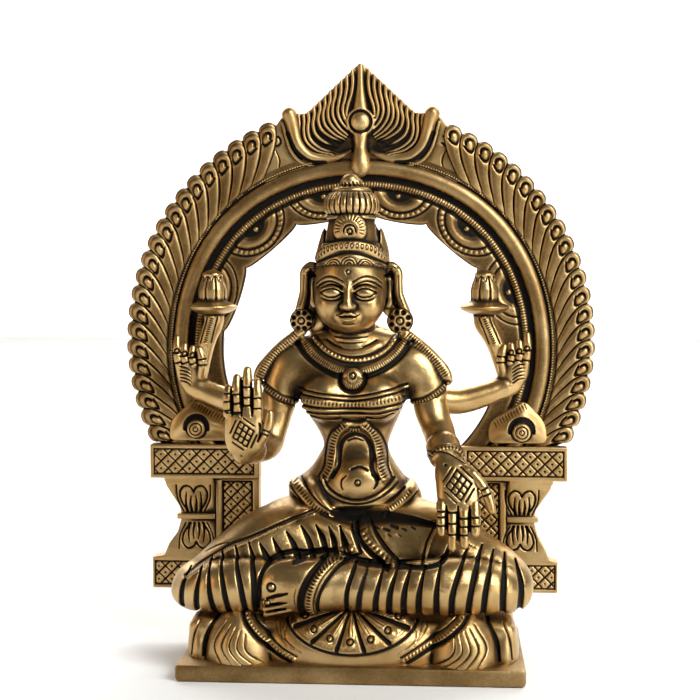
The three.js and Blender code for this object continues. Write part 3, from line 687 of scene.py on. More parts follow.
# The camera looks a little down and comes from a little to the right, as the photograph shows
CAMERA_PLACE = (0.04058, -0.61153, 0.15962)
LOOK_DOWN, FROM_RIGHT = math.radians(87), math.radians(4)
bpy.ops.object.camera_add(location=CAMERA_PLACE, rotation=(LOOK_DOWN, 0, FROM_RIGHT))
camera = bpy.context.object
camera.data.lens = 77.74
camera.data.sensor_width = 36
bpy.context.scene.camera = camera
bpy.context.scene.view_settings.view_transform = "Standard"

# %% [markdown]
# ## The arched frame
# The frame is a flat casting with its carving on the front, so its ring and its leaves are made as nets:
# rows of points that run along the arch, with their height taken from a carving pattern. The back is flat.
# The ring's patterns are told by a place on the arch: the angle from the top and the distance from the
# middle of the ring.

# %% Nets that close on themselves
PLATE_FRONT, PLATE_BACK = 33.5, 37.5
RING_MIDDLE = 126.0
RING = 77.4
CAST_BACK = 0.3


def net(name, rows, recess, node, slot):
    """A closed skin: each row is one section round the piece, and the two ends are filled."""
    count, around = rows.shape[:2]
    mesh = bpy.data.meshes.new(name)
    spot = np.arange(count * around).reshape(count, around)
    after = np.roll(spot, -1, axis=1)
    sides = np.stack([spot[:-1], after[:-1], after[1:], spot[1:]], axis=-1).reshape(-1, 4)
    faces = sides.tolist() + [spot[0, ::-1].tolist(), spot[-1].tolist()]
    mesh.from_pydata((rows.reshape(-1, 3) * MM).tolist(), [], faces)
    set_recess(mesh, np.clip(recess, 0, 1))
    mesh.update()
    made = on_bench(name, mesh)
    bpy.ops.object.mode_set(mode="EDIT")
    bpy.ops.mesh.select_all(action="SELECT")
    bpy.ops.mesh.normals_make_consistent(inside=False)
    bpy.ops.object.mode_set(mode="OBJECT")
    bpy.ops.object.shade_smooth_by_angle(angle=math.radians(55))
    print(name, "triangles:", len(mesh.loops) - 2 * len(mesh.polygons))
    tie(made, name, node, slot)


def plate(name, front, height, dark, open_face, rear=PLATE_BACK):
    """A piece of the frame's plate: a carved front net and a flat back, dark in its hollows."""
    back = front[:, [-1, 0]].copy()
    back[:, :, 1] = rear
    recess = np.maximum(open_face + 0.9 * (soften(height) - height), dark)
    recess = np.concatenate([recess, np.full((len(recess), 2), CAST_BACK)], axis=1)
    net(name, np.concatenate([front, back], axis=1), recess, *FRAME_METAL)


def soften(heights, times=6):
    """A height map without its small forms, to tell hollows from edges."""
    for _ in range(times):
        wide = np.pad(heights, 1, mode="edge")
        heights = (wide[:-2, 1:-1] + wide[2:, 1:-1] + wide[1:-1, :-2] + wide[1:-1, 2:]) / 4
    return heights


def deepest(*values):
    """The largest of several maps of the same net, point by point."""
    most = values[0]
    for value in values[1:]:
        most = np.maximum(most, value)
    return most


# %% [markdown]
# A moulded tube runs round the arch. Outside it lies a row of beads, inside it a channel with a low ribbed
# cord, and then the garland: six lobes that hang inwards, each with rings round a dark bowl. The lobes
# near the top have a row of beads.

# %% The ring of the arch
def arch_bulge(angle):
    """The arch is a little square in its shoulders. 0 is the top."""
    return 1 + np.where(np.abs(angle) < np.pi / 2, 0.022 * np.sin(2 * angle) ** 2, 0)


LOBE = math.radians(27.5)
LOBE_DEPTH = 3.6
GARLAND_RING = 59.6
GARLAND_TOP = -8.6
RING_FOOT = 84
TUBE_HALF, TUBE_HEIGHT = 3.1, 2.9
RIB_RING, RIB_PITCH = 70.5, 1.2
RING_END = math.pi / 2 + math.asin((RING_MIDDLE - RING_FOOT) / GARLAND_RING)
angles = np.linspace(-RING_END, RING_END, 720)[:, None]
in_lobes = np.abs(angles) < 3 * LOBE
inner_edge = GARLAND_RING - in_lobes * LOBE_DEPTH * np.abs(np.sin(np.pi * angles / LOBE)) ** 0.6
reach = inner_edge + (RING + 6.6 - inner_edge) * np.linspace(0, 1, 62)[None, :] ** 0.92
offset = reach - RING
tube = np.sqrt(np.clip(1 - (offset / TUBE_HALF) ** 2, 0, 1)) * TUBE_HEIGHT
cord_line = ridge(offset + 6.9, 1.5)
ribs = 0.5 + 0.5 * np.cos(angles * RIB_RING / RIB_PITCH * 2 * np.pi)
middle_of_lobe = (np.floor(angles / LOBE) + 0.5) * LOBE
side_way = (angles - middle_of_lobe) * 62 / 14.6
deep_way = (RING + GARLAND_TOP - reach) / (RING + GARLAND_TOP - (GARLAND_RING - LOBE_DEPTH))
ring_of = np.sqrt(side_way**2 + deep_way**2)
in_garland = (offset < GARLAND_TOP) & in_lobes
near_top = np.abs(angles) < 2 * LOBE
turn_in_lobe = np.arctan2(deep_way, side_way)
beads = ridge(ring_of - 0.8, 0.07) * (0.5 + 0.5 * np.cos(turn_in_lobe * 30)) * near_top
low_line = ridge(ring_of - 0.9, 0.035) + ridge(ring_of - 0.7, 0.03)
arc = ridge(ring_of - 0.55, 0.13)
bowl = step(0.45, 0.3, ring_of)
drop_form = ridge(np.hypot(side_way * 1.6, deep_way - 0.14), 0.12)
garland = in_garland * (0.5 * beads - 0.5 * low_line + 0.7 * arc - 0.7 * bowl + 0.7 * drop_form)
channel = step(-10.2, -9.2, offset) * step(-2.9, -3.3, offset)
seam = ridge(offset - 3.4, 0.4)
edge = step(0.9, 0.0, reach - inner_edge)
raised = 0.2 + tube + cord_line * (0.8 + 0.4 * ribs) + garland
height = raised - 0.6 * channel - 0.5 * seam - 0.7 * edge**2
dark = deepest(0.72 * step(-3.4, -4.0, offset) * step(-5.8, -5.2, offset), 0.55 * channel * (1 - ribs),
               0.66 * step(-8.2, -8.6, offset) * step(-10, -9.4, offset), 0.85 * seam,
               in_garland * 0.8 * low_line, in_garland * 0.62 * bowl * (1 - drop_form))
width = reach * arch_bulge(angles)
sideways, upwards = width * np.sin(angles), RING_MIDDLE + width * np.cos(angles)
plate("arch_ring", np.stack([sideways, PLATE_FRONT - height, upwards], axis=-1), height, dark, 0.36)


# %% The row of beads round the tube
def bead_row(name, spots, radius, node, slot):
    """One small ball at each spot, in mm, joined to one piece."""
    bpy.ops.object.select_all(action="DESELECT")
    bpy.ops.mesh.primitive_uv_sphere_add(segments=8, ring_count=5, radius=radius * MM, location=(0, 0, 0))
    first = bpy.context.object
    ball = np.array([list(v.co) for v in first.data.vertices])
    faces = [list(p.vertices) for p in first.data.polygons]
    bpy.data.objects.remove(first)
    mesh = bpy.data.meshes.new(name)
    points = (np.array(spots)[:, None, :] * MM + ball[None]).reshape(-1, 3)
    all_faces = [[v + i * len(ball) for v in face] for i in range(len(spots)) for face in faces]
    mesh.from_pydata(points.tolist(), [], all_faces)
    set_recess(mesh, np.tile(np.clip(0.5 + ball[:, 1] / (radius * MM) * 0.4, 0, 1), len(spots)))
    made = on_bench(name, mesh)
    bpy.ops.object.shade_smooth()
    print(name, "beads:", len(spots))
    tie(made, name, node, slot)


BEAD_PITCH = 1.15
rim_radius = RING + 4.3
bead_angles = np.arange(-RING_END + 0.05, RING_END - 0.05, BEAD_PITCH / rim_radius)
rim_width = rim_radius * arch_bulge(bead_angles)
rim_spots = [[w * math.sin(a), PLATE_FRONT - 0.4, RING_MIDDLE + w * math.cos(a)]
             for a, w in zip(bead_angles, rim_width) if abs(a) > 0.2]
bead_row("bead_rim", rim_spots, 0.56, *FRAME_METAL)

# %% [markdown]
# Outside the beads stand 21 leaves on each side. Each leaf sweeps upwards from the rim, swells to a smooth
# back and curls over at the edge: its lip runs round a small eye, with a dark hollow between them.
# Grooves that are thick in the middle part the leaves.
# The net follows the sweep: the angle of a point grows from the root to the tip of its leaf.

# %% The leaves
LEAF_MIDDLE = 130.0
LEAF_TIP = 99.4
LEAF_FIRST, LEAF_LAST = math.radians(-24.5), math.radians(66)
LEAF_PITCH = math.radians(90.5 / 20)
LEFT_OVERHANG = 1.6
SWEEP = math.radians(10)
EYE_RING = 94.7


def leaves(side):
    """The leaves of one side: 1 is the viewer's right, -1 the left."""
    tip_angle = np.linspace(LEAF_FIRST - LEAF_PITCH / 2, LEAF_LAST + LEAF_PITCH / 2, 440)[:, None]
    share = np.linspace(0, 1, 52)[None, :] ** 0.9
    place = (tip_angle - LEAF_FIRST) / LEAF_PITCH + 0.5
    across = place - np.floor(place)
    angle = tip_angle - SWEEP * (1 - share) ** 2.1
    root = 83.1 - 4 * np.sin(angle)
    notch = 2.0 * np.abs(2 * across - 1) ** 2.6
    reach = root + (LEAF_TIP + (side < 0) * LEFT_OVERHANG - notch - root) * share
    pitch = LEAF_PITCH * reach
    from_groove = np.minimum(across, 1 - across) * pitch
    lens = 0.2 + 0.52 * np.sin(np.pi * np.clip((share - 0.03) / 0.72, 0, 1)) ** 0.8
    lens = lens + 0.4 * step(0.88, 1.0, share)
    scroll_side = (across - 0.45) * pitch
    scroll_out = reach - EYE_RING
    from_eye = np.hypot(scroll_side, scroll_out)
    from_opening = np.angle(np.exp(1j * (np.arctan2(scroll_out, scroll_side) - 2.6)))
    closed = step(0.35, 1.2, np.abs(from_opening))
    eye = np.sqrt(np.clip(1 - (from_eye / 1.75) ** 2, 0, 1))
    curl_half = 0.3 + 0.4 * step(0.2, 2.4, np.abs(from_opening))
    curl = ridge(from_eye - 2.25 - 0.16 * from_opening, curl_half) * closed
    lip = ridge(from_eye - 3.5, 0.9) * step(-2.0, 0.5, scroll_out)
    groove = ridge(from_groove, lens) * (1 - step(3.4, 2.4, from_eye))
    back_of_leaf = np.sin(np.pi * np.clip(across, 0, 1) ** 1.5) ** 0.8
    rounding = np.clip((share - 0.93) / 0.07, 0, 1)
    height = 0.4 + 1.0 * np.sin(np.pi * np.clip(share * 0.86, 0, 1)) + 0.8 * back_of_leaf
    height = height + 0.8 * eye + 0.35 * lip - 1.0 * curl - 0.9 * groove - 1.0 * rounding**2
    height = height - 0.35 * step(0.07, 0.0, share)
    dark = deepest(0.8 * groove, 0.72 * curl, 0.7 * step(0.06, 0.0, share))
    angle, reach = np.broadcast_arrays(angle, reach)
    sideways, upwards = side * reach * np.cos(angle), LEAF_MIDDLE + reach * np.sin(angle)
    front = np.stack([sideways, PLATE_FRONT - 0.2 - height, upwards], axis=-1)
    plate("leaves_right" if side > 0 else "leaves_left", front, height, dark, 0.34, PLATE_BACK - 0.3)


leaves(1)
leaves(-1)

# %% [markdown]
# Over the arch stands the crest. Waved ribs like flames run down from a pointed plate towards a round boss,
# a smooth horn rises on each side, and a nose-like drop hangs from the boss over the tube.
# Here forms lie over each other and melt, so this part is clay.

# %% The crest
crest = Clay((-41, 26.5, 196), (41, 38.5, 247.8), 0.27).refine(1)
CREST_OUTLINE = [[0, 247.3], [1.2, 246.9], [23.1, 226.6], [28, 226.2], [33.8, 224.8], [36.6, 221],
                 [39.4, 219], [41, 209], [42, 202], [43, 194]]
cuts, (x, y, z) = crest.window((-44, 20, 190), (44, 45, 250))
edge_x = np.interp(-z, [-up for _, up in CREST_OUTLINE], [across for across, _ in CREST_OUTLINE])
side_gap = (np.abs(x) - edge_x) * 0.7
ring_gap = RING + 1 - np.hypot(x, z - RING_MIDDLE)
plate = np.maximum(np.maximum(side_gap, ring_gap), np.abs(y - 35.4) - 1.8)
crest.merge(cuts, plate.astype(np.float32), 0)

RIBS = 11
RIB_PLACES = (0, 3, 6, 10)
RIB_WAYS = np.array([[[0, 0.8], [-0.3, -5.2], [0.4, -10], [1.9, -14.7], [2.3, -17.1], [2.4, -19]],
                     [[0, 0.8], [0, -3.8], [1.0, -7.6], [1.0, -12.4], [-1.5, -17.2], [-5.2, -20.6]],
                     [[0, 0.8], [-0.7, -2.8], [0.2, -7.1], [-0.9, -11.4], [-4.8, -14.7], [-10.6, -17.4]],
                     [[0, 0.8], [-0.5, -3.3], [-0.5, -7.6], [-1.4, -11.9], [-5.2, -15.7], [-13.6, -17.6]]])
RIB_HALF_WIDTHS = (0.8, 0.75, 0.75, 0.7, 0.6, 0.4)
RIB_DEPTH = 1.15
for side in (-1, 1):
    for i in range(RIBS):
        top_x, top_z = [np.interp(i, (0, 8, 10), ends) for ends in ((3.6, 22.6, 26.6), (244.1, 227.2, 226.0))]
        way = [[np.interp(i, RIB_PLACES, RIB_WAYS[:, k, n]) for n in (0, 1)] for k in range(6)]
        path = [[side * (top_x + a), 33.1, top_z + c, half, RIB_DEPTH]
                for (a, c), half in zip(way, RIB_HALF_WIDTHS)]
        crest.limb(path, soft=0.15, count=18)
crest.limb([[0, 33.2, 247, 1.2, 1.5], [0, 33, 238, 1.5, 1.8], [0, 32.8, 228, 2.9, 2.2]], soft=0.3)
crest.field[cuts] = np.maximum(crest.field[cuts], side_gap)

HORN = [[4.5, 210.6, 0.7], [10, 207.8, 1.2], [16, 206.9, 1.8], [22.6, 208.6, 2.5], [26.6, 213, 2.7],
        [28.4, 218.8, 2.7], [29.4, 223.2, 3.1], [30.4, 226.0, 3.5]]
HORN_SHADE = [[15, 205.4], [21, 205.8], [27.4, 210.4], [31, 218]]
RAISED_LINE = [[7, 204.7], [14, 204.0], [20.6, 204.3], [25.8, 206.2], [29.5, 210.5], [31.6, 216],
               [33.2, 222.6]]
CREST_TAIL = [[36.4, 211, 0.3], [34.6, 206.5, 0.6], [35.4, 201.6, 0.3]]
CREST_FAR = 35
for side in (-1, 1):
    crest.stroke(moved(HORN_SHADE, way=side), 1.3, 0.3, 0.9, far=CREST_FAR)
    horn = [[side * a, 33.0, c, r, r * 0.8 + 0.4] for a, c, r in HORN]
    crest.limb(horn, soft=0.3, across=(0, 1, 0), count=30)
    raised_line = [[side * a, 33.4, c, 0.5, 0.75] for a, c in RAISED_LINE]
    crest.limb(raised_line, soft=0.2, across=(0, 1, 0), count=24)
    crest.circle(side * 36.2, 214.8, 2.0, 0.6, 0.6, 0.8, far=CREST_FAR, start=-150, end=120)
    crest.stroke(moved(CREST_TAIL, way=side), 0.5, 0.4, 0.75, far=CREST_FAR)
BOSS = 222.7
crest.ball((0, 32.6, BOSS), (6.1, 3.0, 6.1), soft=0.6)
crest.engrave((-8, 20, 214), (8, 34, 231), lambda x, y, z: ridge(np.hypot(x, z - BOSS) - 4.5, 0.8), 1.1)
crest.ball((0, 31.0, BOSS), (3.7, 2.2, 3.7), soft=0.2)
crest.limb([[0, 32.4, 217.4, 2.9, 2.2], [0, 32.2, 211.6, 2.7, 2.4], [0.2, 31.4, 206, 4.0, 3.6],
            [0.2, 31.2, 203.6, 4.2, 3.8], [0.3, 32, 201.4, 2.2, 2.2]], soft=0.6)


def between_ribs(x, y, z):
    """Dark hollows: the bowl over the horns, on both sides of the drop."""
    bowl = 1 - np.hypot((np.abs(x) - 8.5) / 7.5, (z - 212.2) / 4.2)
    return np.clip(bowl * 2, 0, 1) * (y < 34)


crest.engrave((-20, 26, 203), (20, 34, 218), between_ribs, 0.25, 0.6)
piece("crest", crest, *FRAME_METAL)

# %% [markdown]
# Below the arch stands a pilaster on each side: a cap, a waisted capital of lotus petals outside a straight
# column, and a foot block. Cap, column and foot carry a lattice of diamonds with a dot in each.
# A smooth tent-shaped pod with an eye lies over the cap, where the leaves end.

# %% The pilasters
CAP_LOW, CAP_HIGH, FOOT_TOP, SEAT = 70.4, 85.0, 36.2, 22.7
PETAL_RIM = ((0.36, 0), (0.8, 0.42), (0.84, 0.76), (0.5, 0.98), (0.16, 0.9), (0, 0.74))
PETAL_SIDE = ((0.66, 0), (1.02, 0.5), (1.08, 1.0))
PILASTER_FAR = 33
PILASTER_LIMIT = 50000


def box_gap(x, y, z, low, high, round_off=0.4):
    """The distance to a box with slightly rounded edges."""
    reach = [np.maximum(a - v, v - b) + round_off for v, a, b in zip((x, y, z), low, high)]
    outside = np.sqrt(sum(np.maximum(r, 0) ** 2 for r in reach))
    inside = np.minimum(deepest(*reach), 0)
    return outside + inside - round_off


def lattice(x, z, middle_x, middle_z, pitch, half_x, half_z):
    """Crossed lines with a dot in each diamond, inside a plain border."""
    u = (x - middle_x + (z - middle_z)) / pitch
    v = (x - middle_x - (z - middle_z)) / pitch
    lines = deepest(*[ridge((way - np.round(way)) * pitch / 1.414, 0.42) for way in (u, v)])
    mid_u, mid_v = [(way - np.floor(way) - 0.5) * pitch / 1.414 for way in (u, v)]
    dots = ridge(np.hypot(mid_u, mid_v), 0.55)
    off_x, off_z = np.abs(x - middle_x), np.abs(z - middle_z)
    border = deepest(ridge(off_x - half_x - 0.3, 0.4) * (off_z < half_z + 0.6),
                     ridge(off_z - half_z - 0.3, 0.4) * (off_x < half_x + 0.6))
    return deepest(deepest(lines, dots) * ((off_x < half_x) & (off_z < half_z)), border)


def corner_gap(across, up, corners):
    """The distance to a shape with rounded corners, told clockwise by its corners."""
    gap = -4 * FAR
    for (a, b), (c, d) in zip(corners, corners[1:] + corners[:1]):
        edge = ((across - a) * (b - d) + (up - b) * (c - a)) / math.dist((a, b), (c, d))
        gap = -melt(-edge, np.zeros_like(edge) - gap, 3.0)
    return gap


def pilaster(side, cap, bell, waist, flare, foot, petals, pod, eye):
    """One pilaster: how far out its cap, bells, waist and foot reach, in mm from the middle of the arch;
    its two petals as middle, base, tip and half width; the corners of its pod and the middle of its eye."""
    near_end, far_end = sorted((side * 42, side * 93.5))
    low, high = (near_end, 23, 22), (far_end, 38.4, 105.5)
    clay = Clay(low, high, 0.28).refine(1)
    cuts, (x, y, z) = clay.window(low, high)
    out = x * side
    edge = np.interp(z, [SEAT, FOOT_TOP, FOOT_TOP + 0.8, 42, 47, 52.4, 55.2, 58, 62, 67, CAP_LOW],
                     [foot - 1, foot - 1, flare, flare - 2, waist + 1.4, waist, waist, waist + 0.6,
                      (waist + bell) / 2, bell, bell + 1])
    swell = np.interp(z, [FOOT_TOP, 40, 50, 53.8, 58, 68, CAP_LOW], [2.0, 1.8, 0.2, 0, 0.2, 1.9, 1.9])
    face = 31.2 - swell * step(61.5, 64, out)
    body = deepest(43.5 - out, out - edge, face - y, y - 37.4, SEAT - z, z - CAP_HIGH)
    clay.merge(cuts, body.astype(np.float32), 0)
    cap_block = ((43.2, 29.2, CAP_LOW), (cap, 37.3, CAP_HIGH))
    foot_block = ((62, 29.2, SEAT), (foot, 37.3, FOOT_TOP))
    under_cap = ((43.5, 30.2, CAP_LOW - 1.6), (bell + 1.2, 37.2, CAP_LOW))
    waist_band = ((62.6, 29.9, 52.6), (waist + 1.6, 37.2, 55.0))
    inner_strip = ((43.5, 30.3, SEAT), (46.2, 37.2, CAP_LOW))
    outer_strip = ((59.6, 30.3, FOOT_TOP), (62.2, 37.2, CAP_LOW))
    for a, b in (cap_block, foot_block, under_cap, waist_band, inner_strip, outer_strip):
        clay.merge(cuts, box_gap(out, y, z, a, b).astype(np.float32), 0.15)

    def carve(x, y, z):
        """The lattices of the cap, the column and the foot."""
        out = x * side
        on_cap = lattice(out, z, (44 + cap) / 2, 77.7, 6.2, (cap - 44) / 2 - 2.0, 5.0) * (z > CAP_LOW)
        on_column = lattice(out, z, 53.0, 53.4, 5.6, 5.9, 15.4) * (np.abs(z - 53.4) < 16.6)
        on_foot = lattice(out, z, (62 + foot) / 2, 29.4, 5.6, (foot - 62) / 2 - 1.6, 4.6) * (z < FOOT_TOP)
        return deepest(on_cap, on_column, on_foot) * (y < 32.6)

    clay.engrave(low, high, carve, 0.55, 0.85)

    for centre, base, tip, half in petals:
        clay.ball((centre, 31.6, (base + tip) / 2), (half * 0.8, 2.0, abs(tip - base) * 0.46), soft=0.6)

        def on_petal(rows, way):
            """Points of a petal, told in its half width and its length, in mm."""
            return [[centre + way * u * half, base + v * (tip - base), *rest] for u, v, *rest in rows]

        for way in (-1, 1):
            clay.stroke(on_petal(PETAL_RIM, way), 0.5, 0.75, 0.95, far=PILASTER_FAR)
            for u, tip_share in ((0.14, 0.6), (0.44, 0.72)):
                vein = ((u, 0.02, 0.7), (u + 0.05, 0.36, 0.5), (u, tip_share, 0.2))
                clay.stroke(on_petal(vein, way), 0.5, 0.8, 1.0, far=PILASTER_FAR)
            clay.stroke(on_petal(PETAL_SIDE, way), 0.4, 0.55, 0.9, far=PILASTER_FAR)

    gap = corner_gap(out, z, pod)
    body = deepest(gap, 30.2 - 4.0 * step(-0.6, 6.5, -gap) - y, y - 37)
    clay.merge(cuts, body.astype(np.float32), 0.3)
    eye_x, eye_z = eye
    clay.circle(eye_x, eye_z + 0.8, 4.9, 1.15, 1.2, 1.0, far=PILASTER_FAR, start=-10, end=190)
    clay.ball((eye_x, 26.8, eye_z), (4.1, 2.0, 4.1), soft=0.2)
    for ring in ((4.3, 0.5, 0.5, 0.9), (2.6, 0.4, 0.45, 0.75), (1.1, 0.35, 0.35, 0.75)):
        clay.circle(eye_x, eye_z, *ring, far=PILASTER_FAR)
    start, end = pod[1], pod[2]
    for share in np.linspace(0.08, 0.92, 12):
        at_x = side * (start[0] + (end[0] - start[0]) * share)
        at_z = start[1] + (end[1] - start[1]) * share
        tick = [[at_x + side * 0.9, at_z - 0.7, 0.3], [at_x + side * 2.0, at_z - 2.8, 0.15]]
        clay.stroke(tick, 0.3, 0.35, 0.75, far=34)
    piece("pilaster_right" if side > 0 else "pilaster_left", clay, *FRAME_METAL, PILASTER_LIMIT)


pilaster(1, 88, 81, 74.4, 80.6, 84.2, [(68.9, 55.8, 66.4, 6.6), (68.2, 50.8, 40.6, 6.6)],
         [(54.6, 86.4), (54.9, 95.4), (69.8, 104.8), (79.0, 95.2), (79.4, 86.4)], (68.5, 91.4))
pilaster(-1, 90.6, 83.6, 77.6, 84.6, 89.8, [(-71.9, 55.8, 67.4, 6.9), (-70.8, 50.8, 39.8, 7.0)],
         [(55.4, 86.6), (56.0, 97.0), (71.6, 104.6), (81.8, 95.6), (82.4, 86.6)], (-70.1, 92.0))

# %% The rail between the columns
def plain_block(name, low, high, node, slot, bevel=0.5):
    """A plain bevelled block between two corners, in mm."""
    bpy.ops.object.select_all(action="DESELECT")
    bpy.ops.mesh.primitive_cube_add(size=1, location=(0, 0, 0))
    made = bpy.context.object
    for v in made.data.vertices:
        v.co = [(a + (b - a) * (c + 0.5)) * MM for a, b, c in zip(low, high, v.co)]
    rounded = made.modifiers.new("rounded edges", "BEVEL")
    rounded.width = bevel * MM
    rounded.segments = 2
    bpy.ops.object.modifier_apply(modifier=rounded.name)
    bpy.ops.object.shade_smooth_by_angle(angle=math.radians(35))
    set_recess(made.data, np.full(len(made.data.vertices), 0.4))
    tie(made, name, node, slot)


plain_block("back_rail", (-44.5, 32.5, SEAT), (44.5, 37.5, FOOT_TOP), *FRAME_METAL)

# %% [markdown]
# ## The pedestal
# The photograph ends above the foot of the seat, so the low plinth under it is kept plain. Above it the
# seat is hung with cloth: a round lobe at each side, two beaded hems that hang between them, and in the
# middle a fan of narrow pleats that end in small ring drops.

# %% Plinth
PLINTH_TOP = 7.0
plain_block("plinth", (-68, -38, 0), (68, 38, PLINTH_TOP), *SEAT_METAL, bevel=1.6)

# %% Draped seat
SEAT_TOP = 22.4
seat = Clay((-67.4, -39.6, 4.6), (67.4, 39.4, 29.4), 1.0)
cuts, (x, y, z) = seat.window((-70, -40, 0), (70, 40, 30))
seat.merge(cuts, box_gap(x, y, z, (-64.6, -27, 5), (64.6, 37.8, SEAT_TOP), 4.0).astype(np.float32), 0)
seat.ball((0, -22, 11), (38, 14.4, 16.4), soft=1.0)
for side in (-1, 1):
    seat.ball((side * 60, -14, 9), (6.2, 15, 15.4), soft=1.0)
    seat.ball((side * 44, -24, 8), (13.6, 13.2, 19), soft=0.4)
seat = seat.refine(3)
cuts, (x, y, z) = seat.window((-70, -40, 0), (70, 40, 30))
rim_height = SEAT_TOP + 4.4 * step(-22, -28, y)
seat.merge(cuts, np.minimum(rim_height - z, z - 5.6).astype(np.float32) + 0 * x, 0.6, cut=True)

# %% [markdown]
# The fan is an ellipse about the point where the cloth is gathered. Each pleat is a raised band with a
# ring drop at its end, deep grooves part the pleats, and two lines run along the rim.

# %% Fan and hems
FAN = (0.4, 28.6)
FAN_WIDE, FAN_TALL = 27.4, 17.4


def fan_spot(turn, share):
    """A place in the fan: a turn in parts of the half circle, and a share of the way to the rim."""
    a = math.pi * turn
    return [FAN[0] + FAN_WIDE * share * math.cos(a), FAN[1] - FAN_TALL * share * math.sin(a)]


PLEATS = 7
FAN_FAR = -20
for k in range(PLEATS + 1):
    turn = 0.03 + 0.94 * k / PLEATS
    groove = [[*fan_spot(turn, share), half] for share, half in ((0.12, 0.35), (0.55, 0.8), (0.93, 1.1))]
    seat.stroke(groove, 0.6, 1.3, 1.0, far=FAN_FAR)
for k in range(PLEATS):
    turn = 0.03 + 0.94 * (k + 0.5) / PLEATS
    fold = [[*fan_spot(turn, share), half] for share, half in ((0.15, 0.6), (0.5, 1.3), (0.8, 1.9))]
    seat.stroke(fold, 1.0, -0.9, far=FAN_FAR)
    for off in (-0.018, 0.018):
        seat.stroke([fan_spot(turn + off, 0.24), fan_spot(turn + off, 0.6)], 0.26, 0.35, 0.8, far=FAN_FAR)
    seat.circle(*fan_spot(turn, 0.7), 1.3, 0.42, 0.5, 1.0, far=FAN_FAR)
    seat.dot(*fan_spot(turn, 0.7), 0.9, -0.7, far=FAN_FAR)
for share, half, dark in ((0.86, 0.22, 0.6), (0.9, 0.22, 0.6), (1.0, 0.75, 1.0)):
    rim_line = [fan_spot(turn, share) for turn in np.linspace(0.02, 0.98, 12)]
    seat.stroke(rim_line, half, half, dark, far=FAN_FAR)

HEM_LEFT = [[-41.8, 28.6], [-39.8, 23.9], [-37, 20.2], [-33.6, 16.4], [-29, 12.4], [-22, 8.6]]
HEM_RIGHT = [[45.2, 28.6], [43.4, 25], [39.4, 21], [34.4, 17], [28.3, 13.2], [21, 9]]
OUTER_FOLD = [[58.2, 8, 0.5], [57.2, 15, 0.9], [53.6, 22, 0.8], [48.4, 26, 0.4]]
SIDE_FOLD = [[63.0, 8, 0.4], [62.0, 16, 0.6], [59.6, 22, 0.3]]
HEM_FAR = -16
for side, hem in ((-1, HEM_LEFT), (1, HEM_RIGHT)):
    seat.stroke(moved(hem, side * 1.2, -1.2), 1.0, 1.2, 1.0, far=HEM_FAR)
    seat.stroke(moved(hem, -side * 1.3, 1.1), 0.45, 0.6, 0.9, far=HEM_FAR)
    seat.coats(hem, HEM_FAR, (1.3, -0.8), (0.95, 0.45, 0.7, 1.5))
    for k in range(5):
        start = [hem[4][0] + side * (4 + 4.2 * k), 6.4, 0.2]
        end = [side * (40.6 + 1.9 * k), 18.6 + 1.1 * k, 0.2]
        seat.stroke([start, [side * (40.5 + 3.1 * k), 13.4, 0.5], end], 0.4, 0.5, 0.85, far=-12)
    seat.stroke(moved(OUTER_FOLD, way=side), 0.7, 0.9, 1.0, far=-6)
    seat.stroke(moved(SIDE_FOLD, way=side), 0.5, 0.6, 0.8, far=6)
    for k in range(3):
        inner_fold = [[30 - 3 * k, 27 - k, 0.2], [29.4 - 2 * k, 20 - 1.6 * k, 0.35],
                      [24 - 3 * k, 13.4 - k, 0.2]]
        seat.stroke(moved(inner_fold, way=side), 0.3, 0.3, 0.6, far=-24)
SEAT_LIMIT = 65000
piece("draped_seat", seat, *SEAT_METAL, SEAT_LIMIT)

# %% [markdown]
# ## The goddess
# The figure is one casting, sculpted here in seven blocks of clay that meet under a necklace, an armlet
# or a belt, where a seam can't be seen.
# The face is a calm one of the kind that temple carvers draw on a grid: the forehead, the nose and
# the part below it are each a third of its height, and the space between the eyes is one eye wide.

# %% The head
HEAD_X = -2.4
CHIN = 135.4
HAIRLINE = 162.6
THIRD = (HAIRLINE - CHIN) / 3
CROWN = (-2.0, 6.4, 163.0)
CROWN_RISES = [(-0.6, 2.0), (4.5, 5.5), (9.2, 5.4), (17, 0)]
CROWN_REACH = 15.0

head = Clay((-29.5, -16.4, 122.6), (25.4, 25.6, 199.6), 0.84)
FACE_SECTIONS = [[2.6, 134.6, 3.6, 3.4], [3.0, 136.6, 8.0, 7.6], [4.2, 141.0, 12.0, 11.4],
                 [5.4, 147.6, 14.4, 13.6], [6, 155.6, 14.7, 14.4], [6.4, 161, 14.1, 14.2],
                 [6.8, 166, 13, 13.2], [7, 171, 11.6, 12]]
head.column([[HEAD_X, *section] for section in FACE_SECTIONS], soft=0)
head.column([[-1.4, 10.8, 122.6, 13.2, 10.4], [-1.4, 10.8, 127, 11.6, 9.6], [-1.8, 10.6, 131, 10.2, 9.2],
             [-2.0, 10.2, 138, 9.8, 9]], soft=2.0)
head.ball((HEAD_X, -3.6, CHIN + 3.0), (4.4, 4.2, 3.2), soft=2.6)
for side in (-1, 1):
    head.ball((HEAD_X + side * 7.6, -1.4, CHIN + 10.4), (5.6, 6.4, 6.4), soft=4)
BACK_HAIR = [[14, 156, 14.8, 8], [14, 162, 15.4, 8.6], [14, 168, 15, 8.2], [14, 173, 13.6, 7],
             [13.6, 177, 12, 4.6], [13.4, 179, 10, 1.4]]
head.column([[CROWN[0], *section] for section in BACK_HAIR], soft=0.6)
head.ball((CROWN[0], 15.6, 131.6), (19, 6, 6.6), soft=1.5)
head.ball((-16.6, 13, 139), (5, 4.4, 6.4), soft=1.5)
head = head.refine(3)

